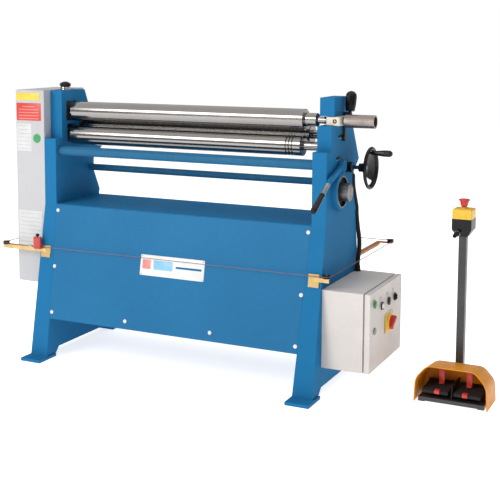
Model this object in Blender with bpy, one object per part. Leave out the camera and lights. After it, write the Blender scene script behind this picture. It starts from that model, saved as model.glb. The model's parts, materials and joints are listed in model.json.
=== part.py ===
"""Plate rolling machine with three rolls, a swing-out top roll and a foot switch.

Frame of the model: X runs along the rolls, Y to the rear, Z up, in metres.
X is zero at the inner face of the left frame, Y at the front face of the
bending head and Z at the floor. The last step moves everything so that the
origin lies at the middle of the footprint.
"""
import math

import bmesh
import bpy
from mathutils import Matrix, Vector

# Driving dimensions of the whole machine
SPAN = 1.1424  # between the inner faces of the frames
FRAME_THICKNESS = 0.0571
SEAT = 0.0003  # clearance where one piece seats on or in another
OVERRUN = 0.006  # how far a cutter runs past the face it opens
MERGE = 0.000002

# Facets of round pieces
ROLL_SIDES = 32
ROUND_SIDES = 22
SMALL_SIDES = 12
CORD_SIDES = 8

# Side frames, outline in Y and Z
DECK_HEIGHT = 0.6361
FRAME_REAR = 0.3295
LEG_SPREAD = 0.1189
LEG_FLARE = 0.0238
FOOT_THICKNESS = 0.0124
HEAD_STEP_HEIGHT = 0.909
HEAD_STEP = 0.0478
RIGHT_JAW_STEP = 0.0736
HEAD_TOP = 1.107
HEAD_TOP_REAR = 0.222
CHAMFER_Y = 0.248
CHAMFER_Z = 1.053
SHOULDER_Y = 0.363
SHOULDER_Z = 0.854
SHOULDER_LOW_Y = 0.346
SHOULDER_LOW_Z = 0.84
WAIST_TOP_Y = 0.289
WAIST_TOP_Z = 0.801
WAIST_LOW_Y = 0.288
WAIST_LOW_Z = 0.749
HIP_Y = 0.3345
HIP_Z = 0.66
ARCH_HEIGHT = 0.035
ARCH_FRONT = -0.031
ARCH_RUN = 0.022
FRAME_WALL = 0.008
HOLLOW_TOP = 0.6
SKIN = 0.0121  # outer wall left behind the bearing pockets
FOOT_FRONT = -0.1795
FOOT_LENGTH = 0.1195
FOOT_OUTSIDE = 0.0079
FOOT_INSIDE = 0.0047

# Top roll
TOP_Y = 0.1174
TOP_Z = 1.0196
ROLL_RADIUS = 0.0405
ROLL_CHAMFER = 0.002
TOP_BODY_START = 0.0203
TOP_BODY_END = 1.0714
TOP_NECK_RADIUS = 0.026
TOP_NECK_END = 1.12
TOP_PIN_RADIUS = 0.014
TOP_PIN_END = 1.312
LEFT_SHAFT_RADIUS = 0.018
TOP_SHAFT_START = -0.087
BORE_CLEARANCE = 0.0003

# Swing carrier of the top roll in the left frame
SWING_X = -0.0285
YOKE_HALF_X = 0.025
YOKE_HALF_Y = 0.03
YOKE_LOW = 0.9797
YOKE_HIGH = 1.0627
WINDOW_HALF_Y = 0.0355
TRUNNION_RADIUS = 0.009
TRUNNION_DROP = 0.008
TRUNNION_TOP = 1.121

# Right bearing block of the top roll and its slot
BLOCK_START = 1.167
BLOCK_END = 1.219
BLOCK_FRONT = 0.0739
BLOCK_REAR = 0.15
BLOCK_HALF_HEIGHT = 0.017
SLOT_HEADROOM = 0.0015
BLOCK_CHAMFER = 0.003
BLOCK_HOLE_X = 1.201
BLOCK_HOLE_RADIUS = 0.0085
BLOCK_HOLE_DEPTH = 0.004

# Pull tube on the free end of the top roll
TUBE_START = 1.23
TUBE_END = 1.344
TUBE_RADIUS = 0.025
TUBE_MOUTH_RADIUS = 0.0195
TUBE_MOUTH_DEPTH = 0.03

# Lower roll
LOWER_Z = 0.9194
LOWER_BODY_START = 0.0151
LOWER_BODY_END = 1.062
LOWER_SHAFT_START = -0.193
PIVOT_END_DEPTH = 0.043
GROOVE_FIRST = 1.0
GROOVE_PITCH = 0.0125
GROOVE_WIDTH = 0.006
GROOVE_DEPTH = 0.0045
GROOVE_COUNT = 3
PINCH_TRAVEL = 0.016
LOWER_BEARING_HALF_Y = 0.03
LOWER_BEARING_HALF_Z = 0.028
BEARING_CHAMFER = 0.003
BEARING_INSET = 0.0004
POCKET_HEADROOM = 0.002

# Rear bending roll
REAR_Y = 0.21
REAR_Z = 0.955
REAR_BODY_START = 0.0203
REAR_BODY_END = 1.063
REAR_TRAVEL = 0.036
REAR_SLIDE_DEGREES = 30.0
REAR_BEARING_HALF = 0.023

# Tie bars
FRONT_TIE_Y = 0.035
FRONT_TIE_Z = 0.858
FRONT_TIE_RADIUS = 0.0195
REAR_TIE_Y = 0.262
REAR_TIE_Z = 0.764
REAR_TIE_RADIUS = 0.0145
SPIGOT_RADIUS = 0.01
SPIGOT_DEPTH = 0.02

# Deck and panels
SHEET = 0.003
PANEL_LOW = 0.1667
PANEL_FLANGE = 0.018
DECK_FLANGE = 0.02

# Gear cover
COVER_START = -0.203
COVER_BACK = -0.0574
COVER_DEPTH = 0.3
COVER_LOW = 0.289
COVER_HIGH = 1.11
COVER_WALL = 0.002
COVER_ROUND = 0.004
COVER_DOOR_FRONT = 0.055
COVER_DOOR_REAR = 0.185
COVER_DOOR_LOW = 0.6
COVER_DOOR_HIGH = 1.072

# Long-tooth gears
TEETH = 10
TIP_RADIUS = 0.0495
MID_RADIUS = 0.0415
ROOT_RADIUS = 0.033
TIP_HALF = 0.0025
MID_HALF = 0.0045
ROOT_HALF = 0.007
GEAR_START = -0.0845
GEAR_END = -0.066

# Shaft-mounted gearmotor
GEARBOX_START = -0.1885
GEARBOX_END = -0.0885
GEARBOX_HALF = 0.06
GEARBOX_ROUND = 0.008
MOTOR_X = -0.143
MOTOR_RADIUS = 0.045
MOTOR_ROOT_RADIUS = 0.039
MOTOR_FINS = 12
MOTOR_LENGTH = 0.2
MOTOR_CAP = 0.045
MOTOR_FLANGE = 0.012
REACTION_PIN_Z = 0.818
REACTION_PIN_RADIUS = 0.008
REACTION_PLATE = 0.009
REACTION_HALF = 0.02
REACTION_LOW = 0.8
REACTION_SLOT_TOP = 0.848

# Lubricator on the left head
CUP_RADIUS = 0.02
CUP_HEIGHT = 0.014
CUP_NECK_RADIUS = 0.012
CAP_RADIUS = 0.0215
CAP_START = 1.1213
CAP_HEIGHT = 0.022
WING_HALF_LENGTH = 0.026
WING_HALF_WIDTH = 0.004
WING_HEIGHT = 0.012

# Eccentric housing and shaft on the right frame
ECCENTRIC_Y = 0.117
ECCENTRIC_Z = 0.752
HOUSING_RADIUS = 0.072
HOUSING_BORE = 0.056
HOUSING_HEIGHT = 0.0225
HOUSING_CHAMFER = 0.003
HOUSING_DEPTH = 0.012
ECCENTRIC_RADIUS = 0.034
ECCENTRIC_REACH = 0.052
ECCENTRIC_CHAMFER = 0.002
ECCENTRIC_STUB_RADIUS = 0.02
ECCENTRIC_STUB_DEPTH = 0.024

# Pinch lever
PINCH_Y = 0.138
PINCH_Z = 0.849
PINCH_HUB_RADIUS = 0.024
PINCH_ELBOW_Y = -0.012
PINCH_ELBOW_Z = 0.803
PINCH_END_Y = -0.175
PINCH_END_Z = 0.714
PINCH_NEAR = 0.0075
PINCH_THICKNESS = 0.0135
PINCH_ARM_HALF = 0.0125
PINCH_ARM_END_HALF = 0.0095
PINCH_ROD_RADIUS = 0.0065
PINCH_GRIP_RADIUS = 0.0125
PINCH_GRIP_END_RADIUS = 0.0145
PINCH_GRIP_BALL = 0.012
STUB_RADIUS = 0.01
STUB_DEPTH = 0.02

# Handwheel
WHEEL_Y = 0.225
WHEEL_Z = 0.834
COLLAR_RADIUS = 0.019
COLLAR_LENGTH = 0.0235
SPINDLE_RADIUS = 0.0075
SPINDLE_DEPTH = 0.03
HUB_START = 1.249
HUB_RADIUS = 0.0165
HUB_FLARE_RADIUS = 0.023
HUB_END = 1.2785
WHEEL_RADIUS = 0.0825
RIM_HALF = 0.0068
RIM_X = 1.2945
WEB_THICKNESS = 0.005
WEB_RADIUS = 0.068
CRESCENT_INNER = 0.034
CRESCENT_OUTER = 0.0655
CRESCENT_START_DEGREES = 195.0
CRESCENT_SWEEP_DEGREES = 110.0
CRESCENT_STEPS = 9
CRANK_RADIUS = 0.0585
CRANK_PIN_RADIUS = 0.0045
CRANK_GRIP_START = 1.2975
CRANK_GRIP_END = 1.377
CRANK_GRIP_NECK = 0.0085
CRANK_GRIP_RADIUS = 0.0125

# Release lever of the swing-out bearing
RELEASE_Y = 0.168
RELEASE_Z = 0.952
RELEASE_NEAR = 0.004
RELEASE_THICKNESS = 0.008
RELEASE_HALF = 0.0085
RELEASE_HUB_RADIUS = 0.013
RELEASE_STUB_RADIUS = 0.006
RELEASE_BAR_TOP = 1.046
RELEASE_ROD_RADIUS = 0.006
RELEASE_ROD_X = 1.227
RELEASE_LEAN = 0.018
RELEASE_TOP = 1.13
RELEASE_GRIP_LOW = 1.054
RELEASE_GRIP_RADIUS = 0.0215
RELEASE_GRIP_NECK = 0.017

# Trip wire round the machine
WIRE_Z = 0.457
WIRE_RADIUS = 0.0015
WIRE_GAP = 0.0002
PULLEY_RADIUS = 0.016
PULLEY_GROOVE = 0.012
PULLEY_HALF = 0.006
PULLEY_LIP = 0.0015
PULLEY_PIN = 0.004
PULLEY_LEFT = -0.2363
PULLEY_RIGHT = 1.2178
PULLEY_FRONT = -0.0363
PULLEY_REAR = 0.745
ARM_THICKNESS = 0.004
ARM_HALF = 0.011
ARM_WEB = 0.016
BRACKET_LOW = 0.414
BRACKET_HIGH = 0.462
BRACKET_LEFT_START = -0.051
BRACKET_LEFT_END = -0.006
BRACKET_RIGHT_START = 1.148
BRACKET_RIGHT_END = 1.19
SWITCH_START = -0.081
SWITCH_END = -0.045
SWITCH_DEPTH = 0.0175
SWITCH_LOW = 0.4465
SWITCH_HIGH = 0.498
SWITCH_ROUND = 0.003
RESET_RADIUS = 0.0075
RESET_HEIGHT = 0.01
RESET_TRAVEL = 0.003

# Cable conduit behind the right frame
CONDUIT_RADIUS = 0.0075
CONDUIT_X = 1.2125
GLAND_RADIUS = 0.0108
GLAND_HEIGHT = 0.02
GLAND_SIDES = 6

# Control cabinet and its door
CABINET_START = 1.1998
CABINET_END = 1.358
CABINET_FRONT = -0.033
CABINET_REAR = 0.357
CABINET_LOW = 0.112
CABINET_HIGH = 0.406
CABINET_WALL = 0.002
CABINET_RETURN = 0.014
CABINET_RIM = 0.0057
DOOR_START = 1.364
DOOR_END = 1.384
HINGE_RADIUS = 0.0045
HINGE_PIN_RADIUS = 0.0022
HINGE_LENGTH = 0.03
HINGE_INSET = 0.06
HINGE_PAD = 0.02
HINGE_LEAF = 0.003
BUTTON_HOLE = 0.0105
BUTTON_RADIUS = 0.0102
BUTTON_REACH = 0.007
BUTTON_STEM = 0.0075
BUTTON_STEM_DEPTH = 0.012
BUTTON_TRAVEL = 0.003
BEZEL_RADIUS = 0.0145
BEZEL_HEIGHT = 0.0045
LAMP_Y = 0.006
LAMP_Z = 0.364
LAMP_REACH = 0.008
START_Y = 0.094
STOP_Y = 0.178
SELECTOR_Y = 0.255
BUTTON_Z = 0.339
SELECTOR_WING_HALF = 0.0035
SELECTOR_WING_HEIGHT = 0.007
PLATE_HALF = 0.041
PLATE_HEIGHT = 0.002
SWITCH_Y = 0.194
SWITCH_Z = 0.254
HANDLE_RADIUS = 0.026
HANDLE_BASE = 0.009
HANDLE_STEM = 0.0075
HANDLE_WING_HALF = 0.0085
HANDLE_WING_LENGTH = 0.031
HANDLE_WING_HEIGHT = 0.024
LOCK_Y = 0.019
LOCK_Z = 0.26
LOCK_RADIUS = 0.0125
LOCK_HEIGHT = 0.006
LOCK_STEM = 0.008
LOCK_SLOT_HALF = 0.0015
LOCK_SLOT_DEPTH = 0.003
CAM_LENGTH = 0.03
CAM_HALF = 0.008
CAM_THICKNESS = 0.003

# Foot switch unit on the floor
PEDAL_X = 1.6525
GUARD_FRONT = 0.08
GUARD_REAR = 0.232
GUARD_SHEET = 0.003
GUARD_HALF_FLOOR = 0.1345
GUARD_HALF_SHOULDER = 0.13
GUARD_SHOULDER_Z = 0.095
GUARD_HALF_TOP = 0.0885
GUARD_HIGH = 0.147
GUARD_FLANGE = 0.012
BASE_HALF = 0.12
BASE_REAR = 0.285
BASE_LOW = 0.003
BASE_THICKNESS = 0.014
DIVIDER_HALF = 0.0045
PEDAL_HALF = 0.048
PEDAL_OFFSET = 0.059
PEDAL_FRONT = 0.092
PEDAL_HINGE_Y = 0.205
PEDAL_HINGE_Z = 0.05
PEDAL_NOSE_Z = 0.045
PEDAL_PLATE = 0.01
PEDAL_HUB = 0.008
PEDAL_PIN = 0.004
PEDAL_RIB = 0.0025
PEDAL_RIBS = 6
LATCH_Y = 0.168
LATCH_Z = 0.132
LATCH_HALF = 0.024
LATCH_LENGTH = 0.052
LATCH_SHEET = 0.004
POST_X = 1.647
POST_Y = 0.25
POST_HALF = 0.014
POST_WALL = 0.002
POST_TOP = 0.599
STATION_HALF = 0.036
STATION_NECK = 0.02
STATION_LOW = 0.5993
STATION_SHOULDER = 0.625
STATION_HIGH = 0.665
STATION_WALL = 0.0025
COVER_TOP = 0.702
STATION_ROUND = 0.005
MUSHROOM_RADIUS = 0.02
MUSHROOM_STEM = 0.0105
MUSHROOM_LOW = 0.712
MUSHROOM_HIGH = 0.737
MUSHROOM_COLLAR = 0.0145
MUSHROOM_COLLAR_TOP = 0.7065
CABLE_GLAND_RADIUS = 0.009
CABLE_GLAND_LENGTH = 0.026

RIGHT_OUTER = SPAN + FRAME_THICKNESS
LEFT_OUTER = -FRAME_THICKNESS
POCKET_DEPTH = FRAME_THICKNESS - SKIN
WIRE_REACH = PULLEY_GROOVE + WIRE_RADIUS + WIRE_GAP
WIRE_FRONT = PULLEY_FRONT - WIRE_REACH
HINGE_X = DOOR_START + HINGE_RADIUS
HINGE_Y = CABINET_REAR + HINGE_RADIUS + SEAT
HINGE_HEIGHTS = (CABINET_LOW + HINGE_INSET, CABINET_HIGH - HINGE_INSET - HINGE_LENGTH)


# Plain solids

def solid(vertices, faces):
    """Return a closed mesh with outward normals."""
    mesh = bpy.data.meshes.new("solid")
    mesh.from_pydata([tuple(vertex) for vertex in vertices], [], faces)
    shell = bmesh.new()
    shell.from_mesh(mesh)
    bmesh.ops.remove_doubles(shell, verts=shell.verts, dist=MERGE)
    bmesh.ops.recalc_face_normals(shell, faces=shell.faces)
    shell.to_mesh(mesh)
    shell.free()
    return mesh


def block(low, high):
    """Return a box between two corners."""
    corners = [(x, y, z) for x in (low[0], high[0]) for y in (low[1], high[1]) for z in (low[2], high[2])]
    faces = [(0, 1, 3, 2), (4, 6, 7, 5), (0, 4, 5, 1), (2, 3, 7, 6), (0, 2, 6, 4), (1, 5, 7, 3)]
    return solid(corners, faces)


def axis_point(axis, along, first, second):
    """Return a point from its place along an axis and the two others in cyclic order."""
    if axis == "X":
        return (along, first, second)
    if axis == "Y":
        return (second, along, first)
    return (first, second, along)


def prism(outline, axis, start, end):
    """Return an outline pushed along an axis; the outline is in the axis's cyclic order."""
    count = len(outline)
    points = [axis_point(axis, along, *pair) for along in (start, end) for pair in outline]
    faces = [tuple(range(count)), tuple(range(2 * count - 1, count - 1, -1))]
    faces += [(i, (i + 1) % count, (i + 1) % count + count, i + count) for i in range(count)]
    return solid(points, faces)


def circle(first, second, radius, sides, turn=0.0):
    """Return the outline of a round."""
    steps = [turn + math.tau * i / sides for i in range(sides)]
    return [(first + radius * math.cos(a), second + radius * math.sin(a)) for a in steps]


def turned(profile, axis, first=0.0, second=0.0, sides=ROUND_SIDES, ring=False):
    """Return a profile of (along, radius) pairs turned round an axis."""
    points = []
    rows = []
    for along, radius in profile:
        if radius == 0:
            rows.append([len(points)] * sides)
            points.append(axis_point(axis, along, first, second))
            continue
        rows.append(list(range(len(points), len(points) + sides)))
        points += [axis_point(axis, along, *pair) for pair in circle(first, second, radius, sides)]
    pairs = list(zip(rows, rows[1:]))
    if ring:
        pairs.append((rows[-1], rows[0]))
    faces = []
    for low, high in pairs:
        for i in range(sides):
            k = (i + 1) % sides
            corners = [low[i], low[k], high[k], high[i]]
            face = tuple(dict.fromkeys(corners))
            if len(face) > 2:
                faces.append(face)
    return solid(points, faces)


def rod(axis, start, end, radius, first=0.0, second=0.0, sides=ROUND_SIDES):
    """Return a plain round bar."""
    return prism(circle(first, second, radius, sides), axis, start, end)


def swept(path, radius, sides=CORD_SIDES):
    """Return a cord along a list of points."""
    points = [Vector(point) for point in path]
    tangents = []
    for i in range(len(points)):
        ahead = points[min(i + 1, len(points) - 1)] - points[i]
        behind = points[i] - points[max(i - 1, 0)]
        tangents.append((ahead.normalized() + behind.normalized()).normalized())
    normal = tangents[0].orthogonal().normalized()
    vertices = []
    for i, point in enumerate(points):
        if i:
            normal = tangents[i - 1].rotation_difference(tangents[i]) @ normal
        side = tangents[i].cross(normal).normalized()
        for k in range(sides):
            angle = math.tau * k / sides
            vertices.append(point + radius * (math.cos(angle) * normal + math.sin(angle) * side))
    last = len(points) - 1
    faces = [tuple(range(sides)), tuple(range((last + 1) * sides - 1, last * sides - 1, -1))]
    for i in range(last):
        for k in range(sides):
            n = (k + 1) % sides
            faces.append((i * sides + k, i * sides + n, (i + 1) * sides + n, (i + 1) * sides + k))
    return solid(vertices, faces)


def moved(mesh, *steps):
    """Return the mesh after the given matrices."""
    for step in steps:
        mesh.transform(step)
    return mesh


def turn(degrees, axis, centre=(0.0, 0.0, 0.0)):
    """Return a rotation about an axis through a centre."""
    spin = Matrix.Rotation(math.radians(degrees), 4, axis)
    return Matrix.Translation(centre) @ spin @ Matrix.Translation(-Vector(centre))


def eased(mesh, width, segments=1, keep=None):
    """Return the mesh with its sharp edges bevelled where the filter keeps them."""
    shell = bmesh.new()
    shell.from_mesh(mesh)
    sharp = [edge for edge in shell.edges if edge.calc_face_angle(0.0) > math.radians(40)]
    if keep:
        sharp = [edge for edge in sharp if keep((edge.verts[0].co + edge.verts[1].co) / 2, edge)]
    bmesh.ops.bevel(shell, geom=sharp, offset=width, offset_type="OFFSET", segments=segments,
                    profile=0.5, affect="EDGES", material=-1)
    shell.to_mesh(mesh)
    shell.free()
    return mesh


def joined(base, tools, operation):
    """Return the base after one Boolean operation with every tool."""
    holder = bpy.data.objects.new("base", base)
    bpy.context.scene.collection.objects.link(holder)
    helpers = []
    for tool in tools:
        helper = bpy.data.objects.new("tool", tool)
        bpy.context.scene.collection.objects.link(helper)
        helpers.append(helper)
        modifier = holder.modifiers.new("step", "BOOLEAN")
        modifier.operation = operation
        modifier.solver = "EXACT"
        modifier.object = helper
    evaluated = holder.evaluated_get(bpy.context.evaluated_depsgraph_get())
    result = bpy.data.meshes.new_from_object(evaluated)
    for helper in helpers + [holder]:
        bpy.data.objects.remove(helper)
    return result


def cut(base, *tools):
    """Return the base less every tool."""
    return joined(base, tools, "DIFFERENCE")


def fused(base, *tools):
    """Return the base together with every tool."""
    return joined(base, tools, "UNION")


def finish(name, colour, roughness, metallic=0.0):
    """Return a Principled material."""
    material = bpy.data.materials.new(name)
    material.use_nodes = True
    shader = material.node_tree.nodes["Principled BSDF"]
    shader.inputs["Base Color"].default_value = (*colour, 1.0)
    shader.inputs["Roughness"].default_value = roughness
    shader.inputs["Metallic"].default_value = metallic
    material.diffuse_color = (*colour, 1.0)
    return material


def piece(name, mesh, material, pivot=(0.0, 0.0, 0.0)):
    """Add one finished sub-part whose origin lies at the pivot."""
    shell = bmesh.new()
    shell.from_mesh(mesh)
    bmesh.ops.remove_doubles(shell, verts=shell.verts, dist=MERGE)
    bmesh.ops.dissolve_degenerate(shell, edges=shell.edges, dist=MERGE)
    bmesh.ops.recalc_face_normals(shell, faces=shell.faces)
    shell.to_mesh(mesh)
    shell.free()
    mesh.transform(Matrix.Translation(-Vector(pivot)))
    mesh.materials.clear()
    mesh.materials.append(FINISHES[material])
    mesh.shade_smooth()
    mesh.set_sharp_from_angle(angle=math.radians(35))
    mesh.name = name
    item = bpy.data.objects.new(name, mesh)
    item.location = pivot
    bpy.context.scene.collection.objects.link(item)
    return item


# Side frames

def leg_lean(height):
    """Return how far the leg's front edge lies ahead of the head at a height."""
    return LEG_SPREAD * (DECK_HEIGHT - height) / (DECK_HEIGHT - FOOT_THICKNESS)


def leg_flare(height):
    """Return how far the leg's inner face lies inside the head's at a height."""
    return LEG_FLARE * max(0.0, DECK_HEIGHT - height) / (DECK_HEIGHT - FOOT_THICKNESS)


def head_outline(right):
    """Return the outline of a frame above the deck, from the deck's rear edge round to the front."""
    rear = [(FRAME_REAR, DECK_HEIGHT), (HIP_Y, HIP_Z), (WAIST_LOW_Y, WAIST_LOW_Z), (WAIST_TOP_Y, WAIST_TOP_Z),
            (SHOULDER_LOW_Y, SHOULDER_LOW_Z), (SHOULDER_Y, SHOULDER_Z), (CHAMFER_Y, CHAMFER_Z),
            (HEAD_TOP_REAR, HEAD_TOP)]
    if right:
        front = [(RIGHT_JAW_STEP, HEAD_TOP), (RIGHT_JAW_STEP, TOP_Z), (HEAD_STEP, TOP_Z)]
    else:
        front = [(HEAD_STEP, HEAD_TOP)]
    return rear + front + [(HEAD_STEP, HEAD_STEP_HEIGHT), (0.0, HEAD_STEP_HEIGHT), (0.0, DECK_HEIGHT)]


def frame_plate(inner, outward, right):
    """Return the plate of one frame with its spread legs."""
    outer = inner + outward * FRAME_THICKNESS
    head = head_outline(right)
    low_front = (-LEG_SPREAD, FOOT_THICKNESS)
    low_rear = (FRAME_REAR + LEG_SPREAD, FOOT_THICKNESS)
    rim = head + [low_front, low_rear]
    count = len(rim)
    flare = inner - outward * LEG_FLARE
    depth = [inner] * len(head) + [flare, flare]
    points = [(outer, y, z) for y, z in rim] + [(x, y, z) for x, (y, z) in zip(depth, rim)]
    faces = [tuple(range(count)), tuple(range(count, count + len(head))),
             (count + len(head) - 1, count + len(head), count + len(head) + 1, count)]
    faces += [(i, (i + 1) % count, (i + 1) % count + count, i + count) for i in range(count)]
    return solid(points, faces)


def leg_hollow(inner, outward):
    """Return the cutter of the space inside the leg box."""
    corners = []
    for height in (-OVERRUN, HOLLOW_TOP):
        lean = leg_lean(height) - FRAME_WALL
        outer = inner + outward * (FRAME_THICKNESS - FRAME_WALL)
        face = inner + outward * (FRAME_WALL - leg_flare(height))
        corners += [(outer, -lean, height), (face, -lean, height),
                    (face, FRAME_REAR + lean, height), (outer, FRAME_REAR + lean, height)]
    faces = [(0, 1, 2, 3), (7, 6, 5, 4)] + [(i, (i + 1) % 4, (i + 1) % 4 + 4, i + 4) for i in range(4)]
    return solid(corners, faces)


def span(a, b):
    """Return two values in rising order."""
    return (a, b) if a < b else (b, a)


def arch(inner, outward):
    """Return the cutter that lifts the side plate off the floor between the feet."""
    rear = FRAME_REAR - ARCH_FRONT
    outline = [(ARCH_FRONT - ARCH_RUN, -OVERRUN), (rear + ARCH_RUN, -OVERRUN),
               (rear + ARCH_RUN, FOOT_THICKNESS), (rear, ARCH_HEIGHT),
               (ARCH_FRONT, ARCH_HEIGHT), (ARCH_FRONT - ARCH_RUN, FOOT_THICKNESS)]
    low, high = span(inner - outward * (LEG_FLARE + OVERRUN), inner + outward * (FRAME_THICKNESS + OVERRUN))
    return prism(outline, "X", low, high)


def foot(inner, outward, rear):
    """Return one foot plate."""
    low, high = span(inner - outward * (LEG_FLARE + FOOT_INSIDE), inner + outward * (FRAME_THICKNESS + FOOT_OUTSIDE))
    start = FRAME_REAR - FOOT_FRONT - FOOT_LENGTH if rear else FOOT_FRONT
    return block((low, start, 0.0), (high, start + FOOT_LENGTH, FOOT_THICKNESS + MERGE))


def lower_pocket(inner, outward):
    """Return the cutter for a lower bearing and its travel."""
    low, high = span(inner - outward * OVERRUN, inner + outward * POCKET_DEPTH)
    half = LOWER_BEARING_HALF_Y + SEAT
    bottom = LOWER_Z - LOWER_BEARING_HALF_Z - SEAT
    top = LOWER_Z + LOWER_BEARING_HALF_Z + PINCH_TRAVEL + POCKET_HEADROOM
    return block((low, TOP_Y - half, bottom), (high, TOP_Y + half, top))


def rear_pocket(inner, outward):
    """Return the cutter for a rear bearing and its sloping travel."""
    low, high = span(inner - outward * OVERRUN, inner + outward * POCKET_DEPTH)
    half = REAR_BEARING_HALF + SEAT
    top = REAR_BEARING_HALF + REAR_TRAVEL + SEAT
    mesh = block((low, REAR_Y - half, REAR_Z - half), (high, REAR_Y + half, REAR_Z + top))
    return moved(mesh, turn(REAR_SLIDE_DEGREES, "X", (0.0, REAR_Y, REAR_Z)))


def tie_bores(inner, outward):
    """Return the cutters for the spigots of both tie bars."""
    low, high = span(inner - outward * OVERRUN, inner + outward * (SPIGOT_DEPTH + SEAT))
    radius = SPIGOT_RADIUS + SEAT
    return [rod("X", low, high, radius, y, z, SMALL_SIDES)
            for y, z in ((FRONT_TIE_Y, FRONT_TIE_Z), (REAR_TIE_Y, REAR_TIE_Z))]


def left_frame():
    """Add the left frame with the swing window, the shaft slot and the lubricator cup."""
    mesh = frame_plate(0.0, -1, False)
    window = block((LEFT_OUTER - OVERRUN, TOP_Y - WINDOW_HALF_Y, YOKE_LOW - SEAT),
                   (OVERRUN, TOP_Y + WINDOW_HALF_Y, YOKE_HIGH + SEAT))
    trunnion = rod("Z", YOKE_LOW - TRUNNION_DROP - SEAT, HEAD_TOP + CUP_HEIGHT + OVERRUN,
                   TRUNNION_RADIUS + BORE_CLEARANCE, SWING_X, TOP_Y, SMALL_SIDES)
    half = LEFT_SHAFT_RADIUS + WIRE_RADIUS
    slot = block((LEFT_OUTER - OVERRUN, TOP_Y - half, LOWER_Z - half),
                 (-POCKET_DEPTH + OVERRUN, TOP_Y + half, LOWER_Z + PINCH_TRAVEL + half))
    cup = turned([(HEAD_TOP - OVERRUN, 0.0), (HEAD_TOP - OVERRUN, CUP_RADIUS), (HEAD_TOP + SHEET, CUP_RADIUS),
                  (HEAD_TOP + CUP_HEIGHT * 0.7, CUP_NECK_RADIUS + SHEET),
                  (HEAD_TOP + CUP_HEIGHT, CUP_NECK_RADIUS), (HEAD_TOP + CUP_HEIGHT, 0.0)],
                 "Z", SWING_X, TOP_Y, SMALL_SIDES)
    pin = rod("X", GEARBOX_END - REACTION_PLATE - SHEET, LEFT_OUTER + OVERRUN,
              REACTION_PIN_RADIUS, TOP_Y, REACTION_PIN_Z, SMALL_SIDES)
    mesh = cut(mesh, leg_hollow(0.0, -1), arch(0.0, -1))
    mesh = fused(mesh, foot(0.0, -1, False), foot(0.0, -1, True), cup, pin)
    mesh = cut(mesh, window, trunnion, lower_pocket(0.0, -1), rear_pocket(0.0, -1), slot, *tie_bores(0.0, -1))
    return piece("left_frame", mesh, "frame_blue")


def right_frame():
    """Add the right frame with the open bearing slot, the eccentric housing and the spindle collar."""
    mesh = frame_plate(SPAN, 1, True)
    slot = block((SPAN - OVERRUN, -OVERRUN, TOP_Z - BLOCK_HALF_HEIGHT - SEAT),
                 (RIGHT_OUTER + OVERRUN, BLOCK_REAR + SEAT, TOP_Z + BLOCK_HALF_HEIGHT + SLOT_HEADROOM))
    housing = turned([(RIGHT_OUTER - OVERRUN, 0.0), (RIGHT_OUTER - OVERRUN, HOUSING_RADIUS),
                      (RIGHT_OUTER + HOUSING_HEIGHT - HOUSING_CHAMFER, HOUSING_RADIUS),
                      (RIGHT_OUTER + HOUSING_HEIGHT, HOUSING_RADIUS - HOUSING_CHAMFER),
                      (RIGHT_OUTER + HOUSING_HEIGHT, 0.0)], "X", ECCENTRIC_Y, ECCENTRIC_Z, ROLL_SIDES)
    stub_end = RIGHT_OUTER - HOUSING_DEPTH - ECCENTRIC_STUB_DEPTH - SEAT
    stub_bore = ECCENTRIC_STUB_RADIUS + BORE_CLEARANCE
    bore = turned([(stub_end, 0.0), (stub_end, stub_bore), (RIGHT_OUTER - HOUSING_DEPTH, stub_bore),
                   (RIGHT_OUTER - HOUSING_DEPTH, HOUSING_BORE),
                   (RIGHT_OUTER + HOUSING_HEIGHT - HOUSING_CHAMFER, HOUSING_BORE),
                   (RIGHT_OUTER + HOUSING_HEIGHT + OVERRUN, HOUSING_BORE + HOUSING_CHAMFER + OVERRUN),
                   (RIGHT_OUTER + HOUSING_HEIGHT + OVERRUN, 0.0)], "X", ECCENTRIC_Y, ECCENTRIC_Z, ROLL_SIDES)
    collar = turned([(RIGHT_OUTER - OVERRUN, 0.0), (RIGHT_OUTER - OVERRUN, COLLAR_RADIUS),
                     (RIGHT_OUTER + COLLAR_LENGTH - CAM_THICKNESS, COLLAR_RADIUS),
                     (RIGHT_OUTER + COLLAR_LENGTH, COLLAR_RADIUS - CAM_THICKNESS),
                     (RIGHT_OUTER + COLLAR_LENGTH, 0.0)], "X", WHEEL_Y, WHEEL_Z)
    spindle = rod("X", RIGHT_OUTER - SPINDLE_DEPTH - SEAT, RIGHT_OUTER + COLLAR_LENGTH + OVERRUN,
                  SPINDLE_RADIUS + BORE_CLEARANCE, WHEEL_Y, WHEEL_Z, SMALL_SIDES)
    pinch = rod("X", RIGHT_OUTER - STUB_DEPTH - SEAT, RIGHT_OUTER + OVERRUN, STUB_RADIUS + BORE_CLEARANCE,
                PINCH_Y, PINCH_Z)
    release = rod("X", RIGHT_OUTER - STUB_DEPTH - SEAT, RIGHT_OUTER + OVERRUN, RELEASE_STUB_RADIUS + BORE_CLEARANCE,
                  RELEASE_Y, RELEASE_Z, SMALL_SIDES)
    mesh = cut(mesh, leg_hollow(SPAN, 1), arch(SPAN, 1))
    mesh = fused(mesh, foot(SPAN, 1, False), foot(SPAN, 1, True), housing, collar)
    mesh = cut(mesh, slot, bore, lower_pocket(SPAN, 1), rear_pocket(SPAN, 1), spindle, pinch, release,
               *tie_bores(SPAN, 1))
    return piece("right_frame", mesh, "frame_blue")


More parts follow.
